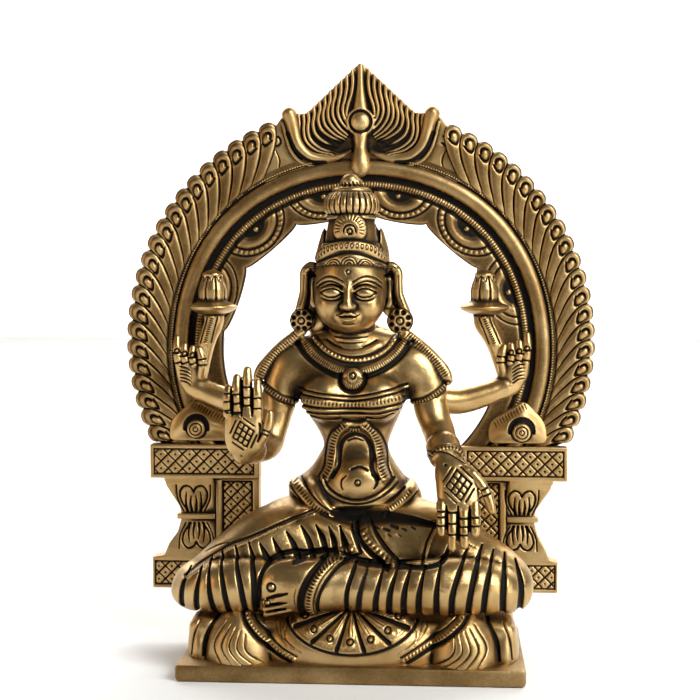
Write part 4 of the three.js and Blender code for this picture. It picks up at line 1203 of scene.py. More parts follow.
EYE_TOP = [[2.5, 0.1], [4.6, 1.5], [6.6, 1.95], [8.8, 1.5], [11.2, 0.4]]
EYE_LOW = [[2.5, 0.1], [4.6, -1.1], [6.8, -1.45], [9.2, -0.9], [11.2, 0.4]]
BROW = [[1.9, 3.7, 0.5], [4.6, 5.3, 0.75], [7.6, 6.0, 0.8], [10.6, 5.3, 0.7], [13.2, 3.3, 0.4]]
for side in (-1, 1):
    eye_x = HEAD_X + side * 6.5
    eye_z = CHIN + 1.66 * THIRD
    head.ball((eye_x, -7.2, eye_z + 0.4), (5.0, 2.6, 3.3), soft=1.2, cut=True)
    head.ball((eye_x, -6.0, eye_z + 0.2), (4.5, 2.9, 2.7), soft=0.8)
    head.stroke(moved(EYE_TOP, HEAD_X, eye_z + 0.9, side), 0.75, -0.55, far=2)
    head.stroke(moved(EYE_TOP, HEAD_X, eye_z + 0.15, side), 0.34, 0.5, 0.95, far=2)
    head.stroke(moved(EYE_TOP, HEAD_X, eye_z + 1.75, side), 0.3, 0.42, 0.85, far=2)
    head.stroke(moved(EYE_LOW, HEAD_X, eye_z, side), 0.34, 0.5, 0.9, far=2)
    head.stroke(moved(EYE_LOW, HEAD_X, eye_z - 0.85, side), 0.6, -0.25, far=2)
    head.stroke(moved(BROW, HEAD_X, eye_z, side), 0.7, -0.55, far=3)
    thin_brow = [spot[:2] for spot in BROW]
    head.stroke(moved(thin_brow, HEAD_X, eye_z + 1.0, side), 0.32, 0.35, 0.85, far=3)
    head.stroke(moved(thin_brow, HEAD_X, eye_z - 1.05, side), 0.32, 0.4, 0.9, far=3)

nose_low = CHIN + THIRD
nose = [[HEAD_X, -7.2, CHIN + 2.05 * THIRD, 1.3, 1.6], [HEAD_X, -8.6, CHIN + 1.7 * THIRD, 1.35, 1.7],
        [HEAD_X, -10.2, CHIN + 1.28 * THIRD, 1.7, 1.8], [HEAD_X, -10.6, nose_low + 0.9, 2.0, 1.7]]
head.limb(nose, soft=1.6)
head.ball((HEAD_X, -10.8, nose_low + 1.1), (2.0, 1.9, 1.6), soft=0.8)
NOSTRIL = [[3.6, 1.9], [4.0, 0.7], [3.4, -0.3]]
for side in (-1, 1):
    head.ball((HEAD_X + side * 1.9, -9.0, nose_low + 0.9), (1.35, 1.7, 1.2), soft=1.0)
    head.ball((HEAD_X + side * 1.3, -10.6, nose_low - 0.7), (0.7, 1.1, 0.55), soft=0.3, cut=True)
    head.stroke(moved(NOSTRIL, HEAD_X, nose_low, side), 0.35, 0.35, 0.8, far=0)
mouth = CHIN + 0.64 * THIRD
head.ball((HEAD_X, -6.8, mouth + 0.1), (5.0, 2.8, 3.2), soft=2.0)


def mirrored(line):
    """A whole line from its right half, which starts in the middle."""
    return moved(line[:0:-1], way=-1) + line


LIP_TOP = mirrored([[0, 0.95, 0.8], [0.9, 1.25, 0.85], [2.2, 0.75, 0.7], [4.1, 0.55, 0.3]])
LIP_LOW = mirrored([[0, -1.4, 1.15], [1.8, -1.15, 0.9], [3.3, -0.55, 0.3]])
PARTING = mirrored([[0, 0.0, 0.36], [0.8, 0.2, 0.36], [2.4, 0.0, 0.36], [4.5, 0.75, 0.28]])
UNDER_LIP = mirrored([[0, -3.2], [2.2, -2.9]])
for line, *cut in ((LIP_TOP, 1, -0.75), (LIP_LOW, 1, -0.8), (PARTING, 0.36, 0.6, 0.95),
                   (UNDER_LIP, 0.6, 0.25, 0.45)):
    head.stroke(moved(line, HEAD_X, mouth), *cut, far=0)
head.stroke([[HEAD_X, nose_low - 0.8], [HEAD_X, mouth + 2.0]], 0.5, 0.25, 0.3, far=-4)
head.circle(HEAD_X, HAIRLINE - 3.4, 1.0, 0.34, 0.35, 0.9, far=0)
head.dot(HEAD_X, HAIRLINE - 3.4, 0.6, -0.3, far=0)
print("face thirds mm:", round(THIRD, 2))

# %% [markdown]
# The crown is a turned form with a rim that arches up over the forehead: a forehead band, a rolled brim,
# a cone with a plaque, a ribbed dome and a lumpy finial in a twisted ring.

# %% The crown
CROWN_PROFILE = [(-2.9, 13.6), (-2.6, 14.4), (-1.9, 14.8), (-1.2, 14.5), (-1.0, 13.6), (-0.6, 13.5),
                 (-0.3, 14.3), (1.2, 15.1), (2.7, 14.8), (3.6, 13.6), (4.2, 11.4), (5.2, 10.9), (12, 10.4),
                 (17.4, 9.5), (18.0, 10.3), (19.0, 10.1), (19.3, 9.2), (19.8, 10.3), (21.4, 11.4),
                 (23, 11.7), (25.4, 11.3),
                 (27.4, 9.9), (28.5, 8.5), (28.8, 7.7), (29.2, 8.2), (30.2, 7.6), (30.8, 6.2), (31.3, 4.6),
                 (32.2, 4.9), (33.2, 4.6), (34.2, 3.6), (35.0, 2.2), (35.4, 0.6)]
head.spin(CROWN_PROFILE, CROWN, CROWN_RISES, CROWN_REACH, soft=0.25)
SIDE_GAP = [[11.3, 171.6, 0.4], [10.9, 175, 0.8], [10.3, 179.4, 0.9]]
for side in (-1, 1):
    head.stroke(moved(SIDE_GAP, CROWN[0], way=side), 0.8, 1.6, 1.0, near=4)


def off_mark(turn, count, twist=0.0):
    """The place between two of count marks round an upright axis: 0 on a mark, 0.5 half way."""
    return (turn * count / (2 * np.pi) + twist) % 1 - 0.5


def inside(value, low, high, soft):
    """1 between low and high, with soft ends."""
    return step(low, low + soft, value) * step(high, high - soft, value)


def dome_flutes(turn, level):
    return ridge(off_mark(turn, 26), 0.17) * inside(level, 19.2, 28.4, 0.8)


def twisted_ring(turn, level):
    return ridge(off_mark(turn, 17, level * 0.28), 0.26) * inside(level, 30.2, 33.0, 0.5)


def brim_marks(turn, level):
    curl = ridge(np.hypot(off_mark(turn, 44) * 2.3, (level - 1.3) / 1.5) - 0.62, 0.2)
    return curl * (np.abs(turn) < 1.7) * (level > -0.4) * (level < 3.2)


def band_marks(turn, level):
    away = np.hypot(off_mark(turn, 13, 0.5) * 7.0, (level + 2.7) * 3.0)
    arcs = ridge(away - 1.0, 0.34) + ridge(away - 2.1, 0.34) + ridge(away - 3.3, 0.34)
    return np.clip(arcs, 0, 1) * (np.abs(turn) < 1.7) * (level > -2.7) * (level < -1.0)


def on_crown(marks, depth, dark):
    """Carves marks told by the way round the crown, 0 at the front, and the height in its profile."""
    def pattern(x, y, z):
        level = Clay.level(x, y, z, CROWN, CROWN_RISES, CROWN_REACH)
        return marks(np.arctan2(x - CROWN[0], -(y - CROWN[1])), level)

    head.engrave((-21, -14, 157), (17, 25, 199.6), pattern, depth, dark)


on_crown(dome_flutes, 0.75, 0.92)
on_crown(twisted_ring, 0.6, 0.85)
on_crown(brim_marks, 0.35, 0.8)
on_crown(band_marks, 0.35, 0.9)
head.ball((CROWN[0] - 0.4, CROWN[1] - 1, 196.6), (3.4, 3.4, 2.6), soft=0.8)
head.ball((CROWN[0] + 1.6, CROWN[1] - 2, 195.4), (2.2, 2.2, 1.8), soft=0.5)

PLAQUE = (CROWN[0], 177.0)
head.ball((PLAQUE[0], -3.0, PLAQUE[1] - 0.6), (6.8, 2.6, 6.4), soft=0.5)
head.circle(PLAQUE[0], PLAQUE[1] - 1.4, 2.5, 0.5, 0.6, 0.95, far=0, start=-10, end=190)
head.circle(PLAQUE[0], PLAQUE[1] - 1.6, 1.15, 0.45, 0.55, 0.95, far=0)
for turn in range(-20, 201, 15):
    ray = [round_about(PLAQUE[0], PLAQUE[1] - 0.8, radius, turn) for radius in (4.0, 6.0)]
    head.stroke(ray, 0.26, 0.35, 0.75, far=0)

# %% [markdown]
# The ears are long loops: an outer strip that flares towards the earring and a smaller loop in it.
# The earrings are round flowers with eight holes round a button.

# %% Ears and earrings
EAR_MIDDLE = HEAD_X + 0.1
EAR_GROOVE = [[14.2, 157.6], [16.2, 158.2], [16.8, 155], [16.9, 150], [17.2, 146.8]]
EAR_LOOP = [[14.6, 155.6, 0.8], [15.6, 155.8, 0.9], [15.9, 152.8, 0.8], [15.3, 150.2, 0.7],
            [15.9, 147.4, 0.85], [15.2, 145.2, 0.8]]
for side, flare, radius in ((-1, 0.4, 5.1), (1, 1.2, 5.5)):
    strip = [[13.2, 159.4, 1.8], [16.4, 161.6, 2.1], [18.9, 159.6, 2.1], [19.3, 155, 2.0], [19.5, 150.5, 2.0],
             [20.2 + flare * 0.6, 146.6, 2.5], [20.8 + flare * 1.4, 143, 3.2]]
    shade = [[19.2, 158], [19.5, 154], [19.7, 149.6], [20.6 + flare * 0.6, 145.6]]
    knots = [[x, 8.4, z, half, 1.9] for x, z, half in moved(strip, EAR_MIDDLE, way=side)]
    head.limb(knots, soft=0.4, across=(0, 1, 0), count=24)
    head.ball((EAR_MIDDLE + side * 16.2, 10.2, 151), (5.2, 1.8, 10.4), soft=0.6)
    groove = EAR_GROOVE + [[18.2 + flare, 143.8]]
    head.stroke(moved(groove, EAR_MIDDLE, way=side), 0.55, 1.0, 1.0, far=12)
    head.stroke(moved(shade, EAR_MIDDLE, way=side), 0.4, 0.3, 0.5, far=12)
    knots = [[x, 7.6, z, half, 1.3] for x, z, half in moved(EAR_LOOP, EAR_MIDDLE, way=side)]
    head.limb(knots, soft=0.3, across=(0, 1, 0), count=20)
    ring_x, ring_z = EAR_MIDDLE + side * 20.2, 139.2
    head.ball((ring_x, 7.0, ring_z), (radius, 3.7, radius), soft=0.3)
    head.circle(ring_x, ring_z, radius * 0.93, 0.3, 0.3, 0.8, far=8)
    for petal in range(8):
        hole = round_about(ring_x, ring_z, radius * 0.66, 22.5 + 45 * petal)
        head.dot(*hole, radius * 0.22, 1.5, 1.0, far=7)
    head.circle(ring_x, ring_z, radius * 0.27, 0.45, 0.7, 0.95, far=7)
for lift in (134.2, 132.2, 130.2):
    head.engrave((-15, -4, lift - 1), (12, 6, lift + 3),
                 lambda x, y, z: ridge(z - lift - 0.013 * (x + 1.8) ** 2, 0.38), 0.35, 0.8)
HEAD_LIMIT = 115000
piece("head", head, *FIGURE_METAL, HEAD_LIMIT)

# %% [markdown]
# ## Torso
# A narrow waist under a full chest, a soft round belly and wide hips. The jewellery is laid on the body
# as raised and sunk lines that follow its surface.

# %% The body
torso = Clay((-48.4, -14, 58.6), (46, 31, 136.6), 1.0)
HIPS = [[0, 10, 58.6, 26, 15], [-0.6, 10, 66, 27.6, 15.4], [-1.2, 10, 70.2, 26.8, 14.8],
        [-1.8, 10, 73.2, 23.8, 13.8], [-1.4, 10, 76, 20.6, 12.8]]
WAIST = [[-0.9, 10, 79, 17.8, 12.2], [-0.8, 10, 83.5, 15.0, 11.4], [-0.4, 10, 87, 13.4, 10.8],
         [-0.5, 9.6, 94, 15.4, 12.2], [-1, 8.8, 100, 18.6, 13.4]]
CHEST = [[-1.4, 8.2, 106, 21.2, 14.2], [-1.5, 8.6, 113, 23.6, 13.6], [-1.5, 10, 119, 25.6, 12.4]]
SHOULDERS = [[-1.5, 10.8, 124.2, 25.6, 11.2], [-1.4, 11.2, 128.2, 24, 10], [-1.3, 11.8, 131.4, 21.6, 8.8],
             [-1.3, 12, 134, 17, 7.4], [-1.3, 12.4, 136, 11, 6]]
torso.column(HIPS + WAIST + CHEST + SHOULDERS, soft=0)
torso.ball((-25.6, 11, 119.6), (11.4, 9, 10.6), soft=5)
torso.ball((23, 11, 119.6), (11.4, 9, 10.6), soft=5)
torso.limb([[-26, 11, 120, 8, 8], [-30.4, 10, 114, 8.2, 8], [-31.8, 9, 107.4, 7.2, 7.2],
            [-32.6, 8.4, 102.6, 6.4, 6.6], [-33, 8, 100.4, 5.4, 5.6]], soft=3)
torso.limb([[23.6, 11, 120, 8, 8], [28, 10, 114, 8.2, 8], [29.6, 9.2, 109, 7.6, 7.4],
            [30.2, 9, 106.6, 6.4, 6.2], [30.4, 9, 105.4, 5, 5]], soft=3)
for x in (-12.2, 9.2):
    torso.ball((x, -0.6, 107.6), (10.0, 8.4, 9.2), soft=2.6)
torso.ball((1.6, 0.4, 74.0), (12.0, 8.4, 10), soft=2.4)
BELT_LEFT = [[0, 25.4, 68.6, 2.4, 2.8], [-14, 23.6, 69, 2.6, 3], [-23.4, 17, 70.2, 3, 3],
             [-25.4, 9, 71.2, 3, 3], [-23.4, 1, 70.4, 2.8, 2.8], [-17.9, -4.6, 65.8, 2.6, 2.4],
             [-10.3, -7.4, 60.4, 2.2, 2]]
BELT_UPPER = [[-19.0, 5, 74.6, 1.4, 1.6], [-16.6, -2.6, 70.8, 2.0, 2.2], [-13.4, -6.2, 66.6, 2.0, 2.2],
              [-8.5, -8.4, 61.6, 1.6, 1.8]]
BELT_RIGHT = [[-2, 25.4, 68.6, 2.4, 2.8], [12, 23.6, 69, 2.6, 3], [20.6, 17, 70, 3, 3], [22.2, 9, 70.8, 3, 3],
              [21.2, 0, 69, 2.8, 2.8], [18.0, -4.6, 65.6, 2.5, 2.4], [12.2, -7.6, 61.8, 2, 2]]
for roll in (BELT_LEFT, BELT_UPPER, BELT_RIGHT):
    torso.limb(roll, soft=1.2, across=(0, 0, 1), count=30)
LOCK_LEFT = [[-22.6, 8, 135], [-28.4, 7, 130.4], [-34.6, 6.4, 124.6], [-40.4, 6.6, 115.6], [-41, 7, 113.6]]
LOCK_RIGHT = [[18.4, 8, 135], [25, 7, 130], [31.4, 6.4, 124.2], [37.0, 6.6, 116.6], [38, 7, 114.6]]
for lock in (LOCK_LEFT, LOCK_RIGHT):
    torso.limb([[*spot, 2.3, 2.3] for spot in lock[:-1]] + [[*lock[-1], 1.6, 1.6]], soft=0.4, count=22)
torso = torso.refine(3)

# %% [markdown]
# Down from the neck: a smooth roll, a row of beads, a ribbed collar and a pendant. Then the breast band
# with its two borders and a beaded middle, its clasp, and the two twisted strands that frame the belly.

# %% The jewellery and the dress
ROLL_LINE = [[-11.8, 131.6], [-8.4, 129.4], [-1.6, 128.0], [5, 129.4], [8.4, 131.4]]
BEAD_LINE = [[-17.3, 131.9], [-12.4, 127.3], [-6.3, 124.4], [-0.6, 123.4], [6.6, 124.4], [12.6, 127.8],
             [16.5, 132.6]]
COLLAR_LINE = [[-21.4, 130.9], [-17.7, 125.8], [-11.2, 121.2], [-4.2, 118.9], [2.7, 118.9], [10, 121.4],
               [16.1, 126.1], [20.1, 132]]


def shifted(line, outward, down):
    """A neck line moved away from the throat."""
    return [[x + outward * (x + 0.6) / 18, z - down * (1 - 0.5 * abs(x + 0.6) / 18)] for x, z in line]


torso.stroke(ROLL_LINE, 0.5, 0.6, 0.95, far=9)
torso.stroke(shifted(ROLL_LINE, 2.6, 2.0), 1.5, -0.7, far=9)
torso.coats(BEAD_LINE, 11, (1.95, 0.45, 0.92), (1.15, -0.99), (1.15, -0.54, 0.9, 1.75))
torso.stroke(shifted(COLLAR_LINE, 2.6, 2.7), 1.15, 0.9, 1.0, far=12)
torso.coats(COLLAR_LINE, 12, (2.0, -1.1), (1.9, 0.42, 0.62, 0.95))
torso.stroke(shifted(COLLAR_LINE, 1.4, 1.5), 0.35, 0.3, 0.7, far=12)

PENDANT = (-0.8, 115.9)
torso.circle(*PENDANT, 5.0, 1.3, 1.0, 1.0, far=6, start=160, end=380)
torso.ball((PENDANT[0], -4.2, PENDANT[1]), (4.6, 2.6, 4.6), soft=0.3)
torso.dot(*PENDANT, 6.6, -0.02, far=-3.4)
torso.circle(*PENDANT, 4.9, 0.8, 0.3, 1.0, far=6, start=160, end=380)
for turn in range(180, 361, 15):
    inner_end = round_about(PENDANT[0], PENDANT[1] + 1, 2.1, turn)
    torso.stroke([inner_end, round_about(*PENDANT, 3.9, turn)], 0.22, 0.3, 0.7, far=2)
torso.circle(PENDANT[0], PENDANT[1] + 1.6, 1.25, 0.45, 0.5, 0.9, far=2)

BAND_LINES = [[[-22.8, 112.0], [-11.4, 110.1], [-0.3, 109.1], [9.6, 110.9], [21, 113.7]],
              [[-22.8, 110.0], [-11.4, 108.3], [-0.3, 107.3], [9.6, 109.0], [21, 111.4]],
              [[-22.4, 105.6], [-11.4, 104.3], [-0.3, 104.2], [9.6, 104.6], [19.6, 106.4]],
              [[-21.4, 103.0], [-10.4, 101.9], [-0.3, 102.4], [9.6, 102.2], [18.4, 104.2]],
              [[-18.6, 101.2], [-9.8, 99.7], [-6, 100.1]],
              [[4.8, 100.5], [9.6, 100.1], [15.6, 102.2]]]
for line in BAND_LINES:
    torso.stroke(line, 0.5, 0.65, 0.97, far=9)


def half_way(first, second):
    """The line in the middle between two lines."""
    return [[(a + c) / 2, (b + d) / 2] for (a, b), (c, d) in zip(first, second)]


for upper, lower in (BAND_LINES[0:2], BAND_LINES[2:4]):
    torso.stroke(half_way(upper, lower), 0.75, -0.4, far=9)
bead_band = half_way(*BAND_LINES[1:3])
torso.coats(bead_band, 9, (1.5, -0.35), (1.35, 0.4, 0.66, 1.5))
torso.stroke(moved(bead_band, up=0.7), 0.4, -0.35, tick=1.1, far=9)

CLASP = [[-2.8, 95.6], [0, 94.9], [2.8, 95.6]]
torso.stroke([[-4.6, 101.2], [4.0, 101.2]], 1.0, -0.5, far=3)
torso.stroke([[-4.8, 99.6], [0, 99.0], [4.2, 99.6]], 0.5, 0.7, 1.0, far=3)
torso.stroke([[-3.6, 97.9], [0, 97.2], [3.4, 97.9]], 1.0, -0.7, far=3)
torso.coats(CLASP, 3, (1.2, -0.6), (1.1, 0.4, 0.8, 1.2))
STRAND_LEFT = [[-3.6, 97.0], [-7.2, 94.0], [-9.2, 89.6], [-9.9, 84.6], [-10.6, 79.4], [-12.6, 75.6]]
STRAND_RIGHT = [[3.8, 97.0], [7.2, 94.0], [9.2, 89.6], [10.2, 84.7], [11.0, 79.2], [12.4, 75.8]]
EDGE_LEFT = [[-0.6, 93.4], [-3.4, 92.2], [-5.4, 89.6], [-6.3, 84.6], [-6.5, 80.4], [-9.3, 76.0]]
EDGE_RIGHT = [[0.6, 93.4], [3.6, 92.3], [5.6, 89.6], [6.7, 84.7], [7.0, 80.0], [9.5, 75.6]]
for side, edge, strand in ((-1, EDGE_LEFT, STRAND_LEFT), (1, EDGE_RIGHT, STRAND_RIGHT)):
    torso.stroke(edge, 1.0, 0.9, 1.0, far=6)
    torso.coats(strand, 8, (2.1, -1.2), (1.9, 0.45, 0.75, 1.35))
    torso.stroke(moved(strand, side * -1.5), 0.4, -0.5, far=8)
    torso.stroke(moved(strand, side * 2.5), 0.5, 0.45, 0.75, far=9)
torso.stroke([[-3.0, 90.6], [0, 91.7], [3.2, 90.6]], 0.42, 0.5, 0.95, far=4)
torso.stroke([[-1.3, 79.5], [2, 80.6], [5.2, 79.3]], 0.6, 0.7, 1.0, far=2)
torso.circle(1.4, 74.4, 1.2, 0.4, 0.5, 1.0, far=2)
torso.dot(1.4, 74.4, 0.7, -0.4, far=2)
CREASE_LEFT = [[-3.1, 77.2, 0.25], [-5.1, 75.2, 0.45], [-5.4, 73.2, 0.4], [-4.7, 71.2, 0.25]]
CREASE_RIGHT = [[7.0, 77.5, 0.3], [8.8, 76.0, 0.8], [9.2, 74.2, 0.8], [7.9, 71.7, 0.3]]
torso.stroke(CREASE_LEFT, 0.4, 0.55, 0.95, far=3)
torso.stroke(CREASE_RIGHT, 0.6, 0.8, 1.0, far=3)
BELLY_LINE = [[-13.0, 76.0], [-10.7, 71.9], [-7.0, 69.2], [-2.9, 67.6], [3.8, 67.5], [8.4, 69.3],
              [12.4, 71.9], [15.8, 75.4]]
torso.stroke(BELLY_LINE, 0.55, 0.7, 1.0, far=8)
torso.stroke([[x * 1.06, z - 1.1] for x, z in BELLY_LINE], 0.5, -0.5, far=8)
torso.stroke([[x * 1.1, z - 2.0] for x, z in BELLY_LINE], 0.35, 0.4, 0.85, far=8)
# A wide groove under the belly; its dark stain paints the shade that falls there
UNDER_BELLY = [[-8.6, 62.2, 1.4], [-2.7, 61.8, 2.8], [4.1, 61.8, 3.0], [10.8, 62.4, 2.4], [15.6, 61.4, 1.2]]
torso.stroke(UNDER_BELLY, 2.6, 1.2, 1.0, far=6)
BEADS_LEFT = [[-25.4, 74.0], [-21.5, 69.8], [-17.9, 66.1], [-14.2, 63.3], [-10.3, 61.0]]
BEADS_RIGHT = [[22.9, 70.6], [18.8, 67.0], [14.1, 64.0], [11.4, 62.2]]
for side, belt, bead in ((-1, BEADS_LEFT, 1.3), (1, BEADS_RIGHT, 1.2)):
    torso.stroke(belt, 1.5, 0.35, 0.7, tick=bead, far=12)
    torso.stroke(moved(belt, side * -2.7, 0.9), 0.5, 0.6, 0.95, far=12)
    torso.stroke(moved(belt, side * 2.0, -1.5), 0.6, 0.6, 0.9, far=14)

ARMLETS = [[[-39.6, 113.4], [-35.2, 110.4], [-30.6, 107.4], [-25.0, 105.6]],
           [[22.6, 105.4], [28.2, 107.0], [33.0, 109.8], [37.4, 113.4]]]
ALL_ROUND = 99
for line in ARMLETS:
    torso.coats(line, ALL_ROUND, (2.2, 0.55, 0.97), (1.35, -1.15), (1.25, 0.45, 0.72, 1.25))
HAIR_LINES = [[[-24.6, 133.6], [-28.4, 130.4], [-34.6, 124.6], [-40.4, 115.6]],
              [[20.6, 133.6], [25, 130], [31.4, 124.2], [37.0, 116.6]]]
for line in HAIR_LINES:
    torso.stroke(line, 2.1, 0.5, 0.7, tick=1.15)
TORSO_LIMIT = 90000
piece("torso", torso, *FIGURE_METAL, TORSO_LIMIT)

# %% [markdown]
# ## Arms and hands
# The front right hand is raised with its palm outward, and the front left hangs down open. Both palms carry
# an engraved diamond, and dark lines cross the fingers at their joints.

# %% Hands
def finger(clay, knots, radius, joints, far):
    """A finger through its knots, with dark joint lines at shares of its length."""
    clay.limb([[*spot, radius * size, radius * size] for spot, size in zip(knots, (1.0, 1.02, 1.0, 0.78))],
              soft=0.35, count=14)
    path = smooth(knots, 20)
    for share in joints:
        i = int(share * 19)
        spot, line = path[i], path[i + 1] - path[i]
        line = line[[0, 2]] / np.hypot(line[0], line[2])
        reach = radius * 0.95
        clay.stroke([[spot[0] - line[1] * reach, spot[2] + line[0] * reach],
                     [spot[0] + line[1] * reach, spot[2] - line[0] * reach]], 0.42, 0.55, 1.0, far=far)


def diamond(clay, centre, across, along, far):
    """The diamond of a palm: crossed lines, told by half of each side, and a line outside each side."""
    def spot(u, v):
        return [c + u * a + v * b for c, a, b in zip(centre, across, along)]

    for k in (-1.5, -1, -0.33, 0.33, 1, 1.5):
        end = 1.0 if abs(k) <= 1 else 0.8
        clay.stroke([spot(k, -end), spot(k, end)], 0.42, 0.55, 1.0, far=far)
        clay.stroke([spot(-end, k), spot(end, k)], 0.42, 0.55, 1.0, far=far)


# %% The raised arm
raised = Clay((-54, -26.5, 80), (-24, 18, 124.6), 0.9)
raised.limb([[-31.8, 9, 106.8, 6.6, 6.6], [-32.8, 8.2, 101.6, 6.3, 6.4], [-34.4, 6, 94, 5.8, 6.0],
             [-35.4, 2.6, 89, 5.6, 5.6], [-37, -3, 87.4, 5.2, 5.2], [-40.6, -10, 87.6, 4.9, 4.9],
             [-43, -14.6, 88.6, 4.8, 4.6]], soft=0, count=30)
raised.limb([[-43.2, -14.4, 86.4, 5.0, 4.2], [-43.2, -17.2, 91, 6.6, 4.2], [-43, -18.8, 97, 7.5, 3.9],
             [-42.8, -19.4, 101.4, 7.4, 3.2], [-42.6, -19.6, 104.8, 6.6, 2.4]], soft=1.5)
raised.ball((-38.0, -17.0, 91.6), (3.4, 3.0, 5.2), soft=1.5, tilt=-14)
raised.ball((-47.6, -17.6, 93.6), (3.0, 2.8, 6.4), soft=1.5)
raised.limb([[-43.5, -17.6, 101, 7.2, 2.2], [-43.5, -17.8, 107, 7.2, 2.2], [-42.8, -18, 112.4, 5.8, 2.0],
             [-42, -18, 116, 3.4, 1.8]], soft=0.8)
raised = raised.refine(3)
raised.limb([[-40.9, -11, 87.9, 5.9, 5.9], [-42.0, -13.4, 88.3, 5.7, 5.7]], soft=0.3)
FAR_HAND = -14
RAISED_FINGERS = ((-49.1, 103, 113.2, (0.2, 0.54, 0.86)), (-45.6, 103, 117.4, (0.1, 0.36, 0.6)),
                  (-41.4, 104, 120.4, (0.18, 0.38, 0.64)), (-37.5, 102, 115.6, (0.3, 0.6)))
for x, low, high, joints in RAISED_FINGERS:
    knots = [[x, -19.4, low], [x, -20.6, low * 0.65 + high * 0.35], [x, -20.8, low * 0.25 + high * 0.75],
             [x, -19.8, high]]
    finger(raised, knots, 2.05, joints, FAR_HAND)
finger(raised, [[-38.4, -17.4, 89.4], [-35.4, -18.8, 94.0], [-33.2, -19.2, 98.8], [-32.6, -19, 103.2]], 2.0,
       (0.5, 0.62), FAR_HAND)
for x, z in ((-47.4, 113), (-43.5, 116.6), (-39.4, 115.6)):
    raised.stroke([[x, 102.4, 0.4], [x, 106, 0.75], [x, z, 0.65]], 0.6, 1.2, 1.0, far=FAR_HAND)
raised.stroke([[-50, 103.8], [-46.6, 103.2], [-43.8, 103.6]], 0.4, 0.45, 0.9, far=FAR_HAND)
diamond(raised, (-42.9, 95.2), (2.7, -2.0), (-1.5, -3.2), FAR_HAND)
raised.stroke([[-36.6, 99.4, 0.4], [-35.9, 96, 0.8], [-37.4, 92, 0.4]], 0.6, 0.7, 1.0, far=FAR_HAND)
raised.dot(-44.0, 86.2, 0.5, 0.3, far=FAR_HAND)
piece("raised_arm", raised, *FIGURE_METAL)

# %% The lowered arm
lowered = Clay((20, -31.6, 46.4), (59, 18.6, 116), 0.9)
lowered.limb([[29.6, 9.2, 108.4, 7.0, 6.6], [31.0, 8, 102, 7.0, 6.8], [32.2, 6.6, 98.4, 6.6, 6.6],
              [33.6, 4.4, 95, 6.5, 6.3], [34.8, 0, 91.4, 6.3, 5.9], [36.2, -5.4, 87.6, 6.0, 5.4],
              [37.4, -10.4, 84.4, 5.4, 4.6]], soft=0, count=30)
lowered.limb([[37.6, -11.6, 84.2, 5.2, 4.0], [39.6, -14.8, 80.4, 7.4, 4.4], [41.4, -17.8, 75.6, 8.4, 4.2],
              [42.0, -20, 71.0, 8.5, 3.6], [42.2, -21.8, 66.8, 7.8, 2.8]], soft=1.5)
lowered.ball((47.2, -17.0, 76.6), (3.6, 3.2, 6.4), soft=1.6, tilt=20)
lowered.limb([[42, -19.6, 69, 8.0, 2.4], [42, -21.4, 64, 7.6, 2.2], [42, -23, 59, 6.8, 2.0],
              [42, -23.6, 55, 3.4, 1.6]], soft=0.8)
lowered = lowered.refine(3)
lowered.limb([[35.7, -4.2, 88.8, 7.0, 6.3], [36.9, -8.6, 85.8, 7.0, 5.9]], soft=0.3)
FAR_LOW = -10
LOWERED_FINGERS = ((35.4, 68.4, 57.6, (0.28, 0.52, 0.8)), (39.5, 68.6, 51.8, (0.26, 0.52, 0.76)),
                   (44.2, 68.6, 52.8, (0.38, 0.6, 0.84)), (48.4, 68.4, 57.6, (0.5, 0.84)))
for x, high, low, joints in LOWERED_FINGERS:
    knots = [[x, -21.4, high], [x, -23.4, high * 0.65 + low * 0.35], [x, -25.0, high * 0.3 + low * 0.7],
             [x, -25.8, low]]
    finger(lowered, knots, 2.15, joints, FAR_LOW)
finger(lowered, [[47.4, -17.8, 79.6], [51.2, -19.2, 75.2], [53.8, -20.4, 70], [54.8, -21.2, 66]], 2.2,
       (0.5, 0.68), FAR_LOW)
for x, z in ((37.3, 56), (41.8, 52.4), (46.3, 54.6)):
    lowered.stroke([[x, 67.8, 0.4], [x, 62, 0.7], [x, z, 0.7]], 0.6, 1.2, 1.0, far=FAR_LOW)
lowered.stroke([[50.4, 68, 0.5], [50.6, 71.4, 1.0], [49.6, 74.2, 0.5]], 0.8, 0.8, 1.0, far=FAR_LOW)
diamond(lowered, (42.0, 75.8), (2.9, -2.6), (-2.1, -3.1), FAR_LOW)
lowered.dot(36.8, 83.2, 0.75, 0.6, 1.0, far=FAR_LOW)
BANGLE = [[30, 85.6], [33, 88.4], [37.4, 89.6], [41.6, 88.8], [44.6, 85.8]]
lowered.coats(BANGLE, 4, (1.5, 0.5, 0.95), (1.2, -1.2), (1.1, 0.4, 0.6, 1.5))
lowered.stroke([[29.2, 87.6], [36.6, 87.6], [44.4, 83.6]], 0.35, 0.4, 0.85, far=2)
piece("lowered_arm", lowered, *FIGURE_METAL)

# %% [markdown]
# The two rear arms reach out to the arch, bend up at a bangle and hold a lotus: a closed bud over a wide
# drooping disc, on a thick stem with a ribbed strip.

# %% The rear arms and their lotuses
REAR_ARM_LIMIT = 50000
FAR_REAR_HAND = 24
FAR_STEM = 23
FLOWER_FOOT = 144.6
LOTUS_PROFILE = [(-3.4, 3.4), (-2.8, 6.4), (-1.4, 9.4), (-0.2, 10.4), (0.7, 9.7), (1.7, 7.0), (2.6, 5.8),
                 (4.0, 5.9), (7.0, 6.0), (10, 5.2), (12.6, 4.1), (13.2, 4.5), (14.0, 4.1), (15.0, 2.4),
                 (15.6, 0.5)]


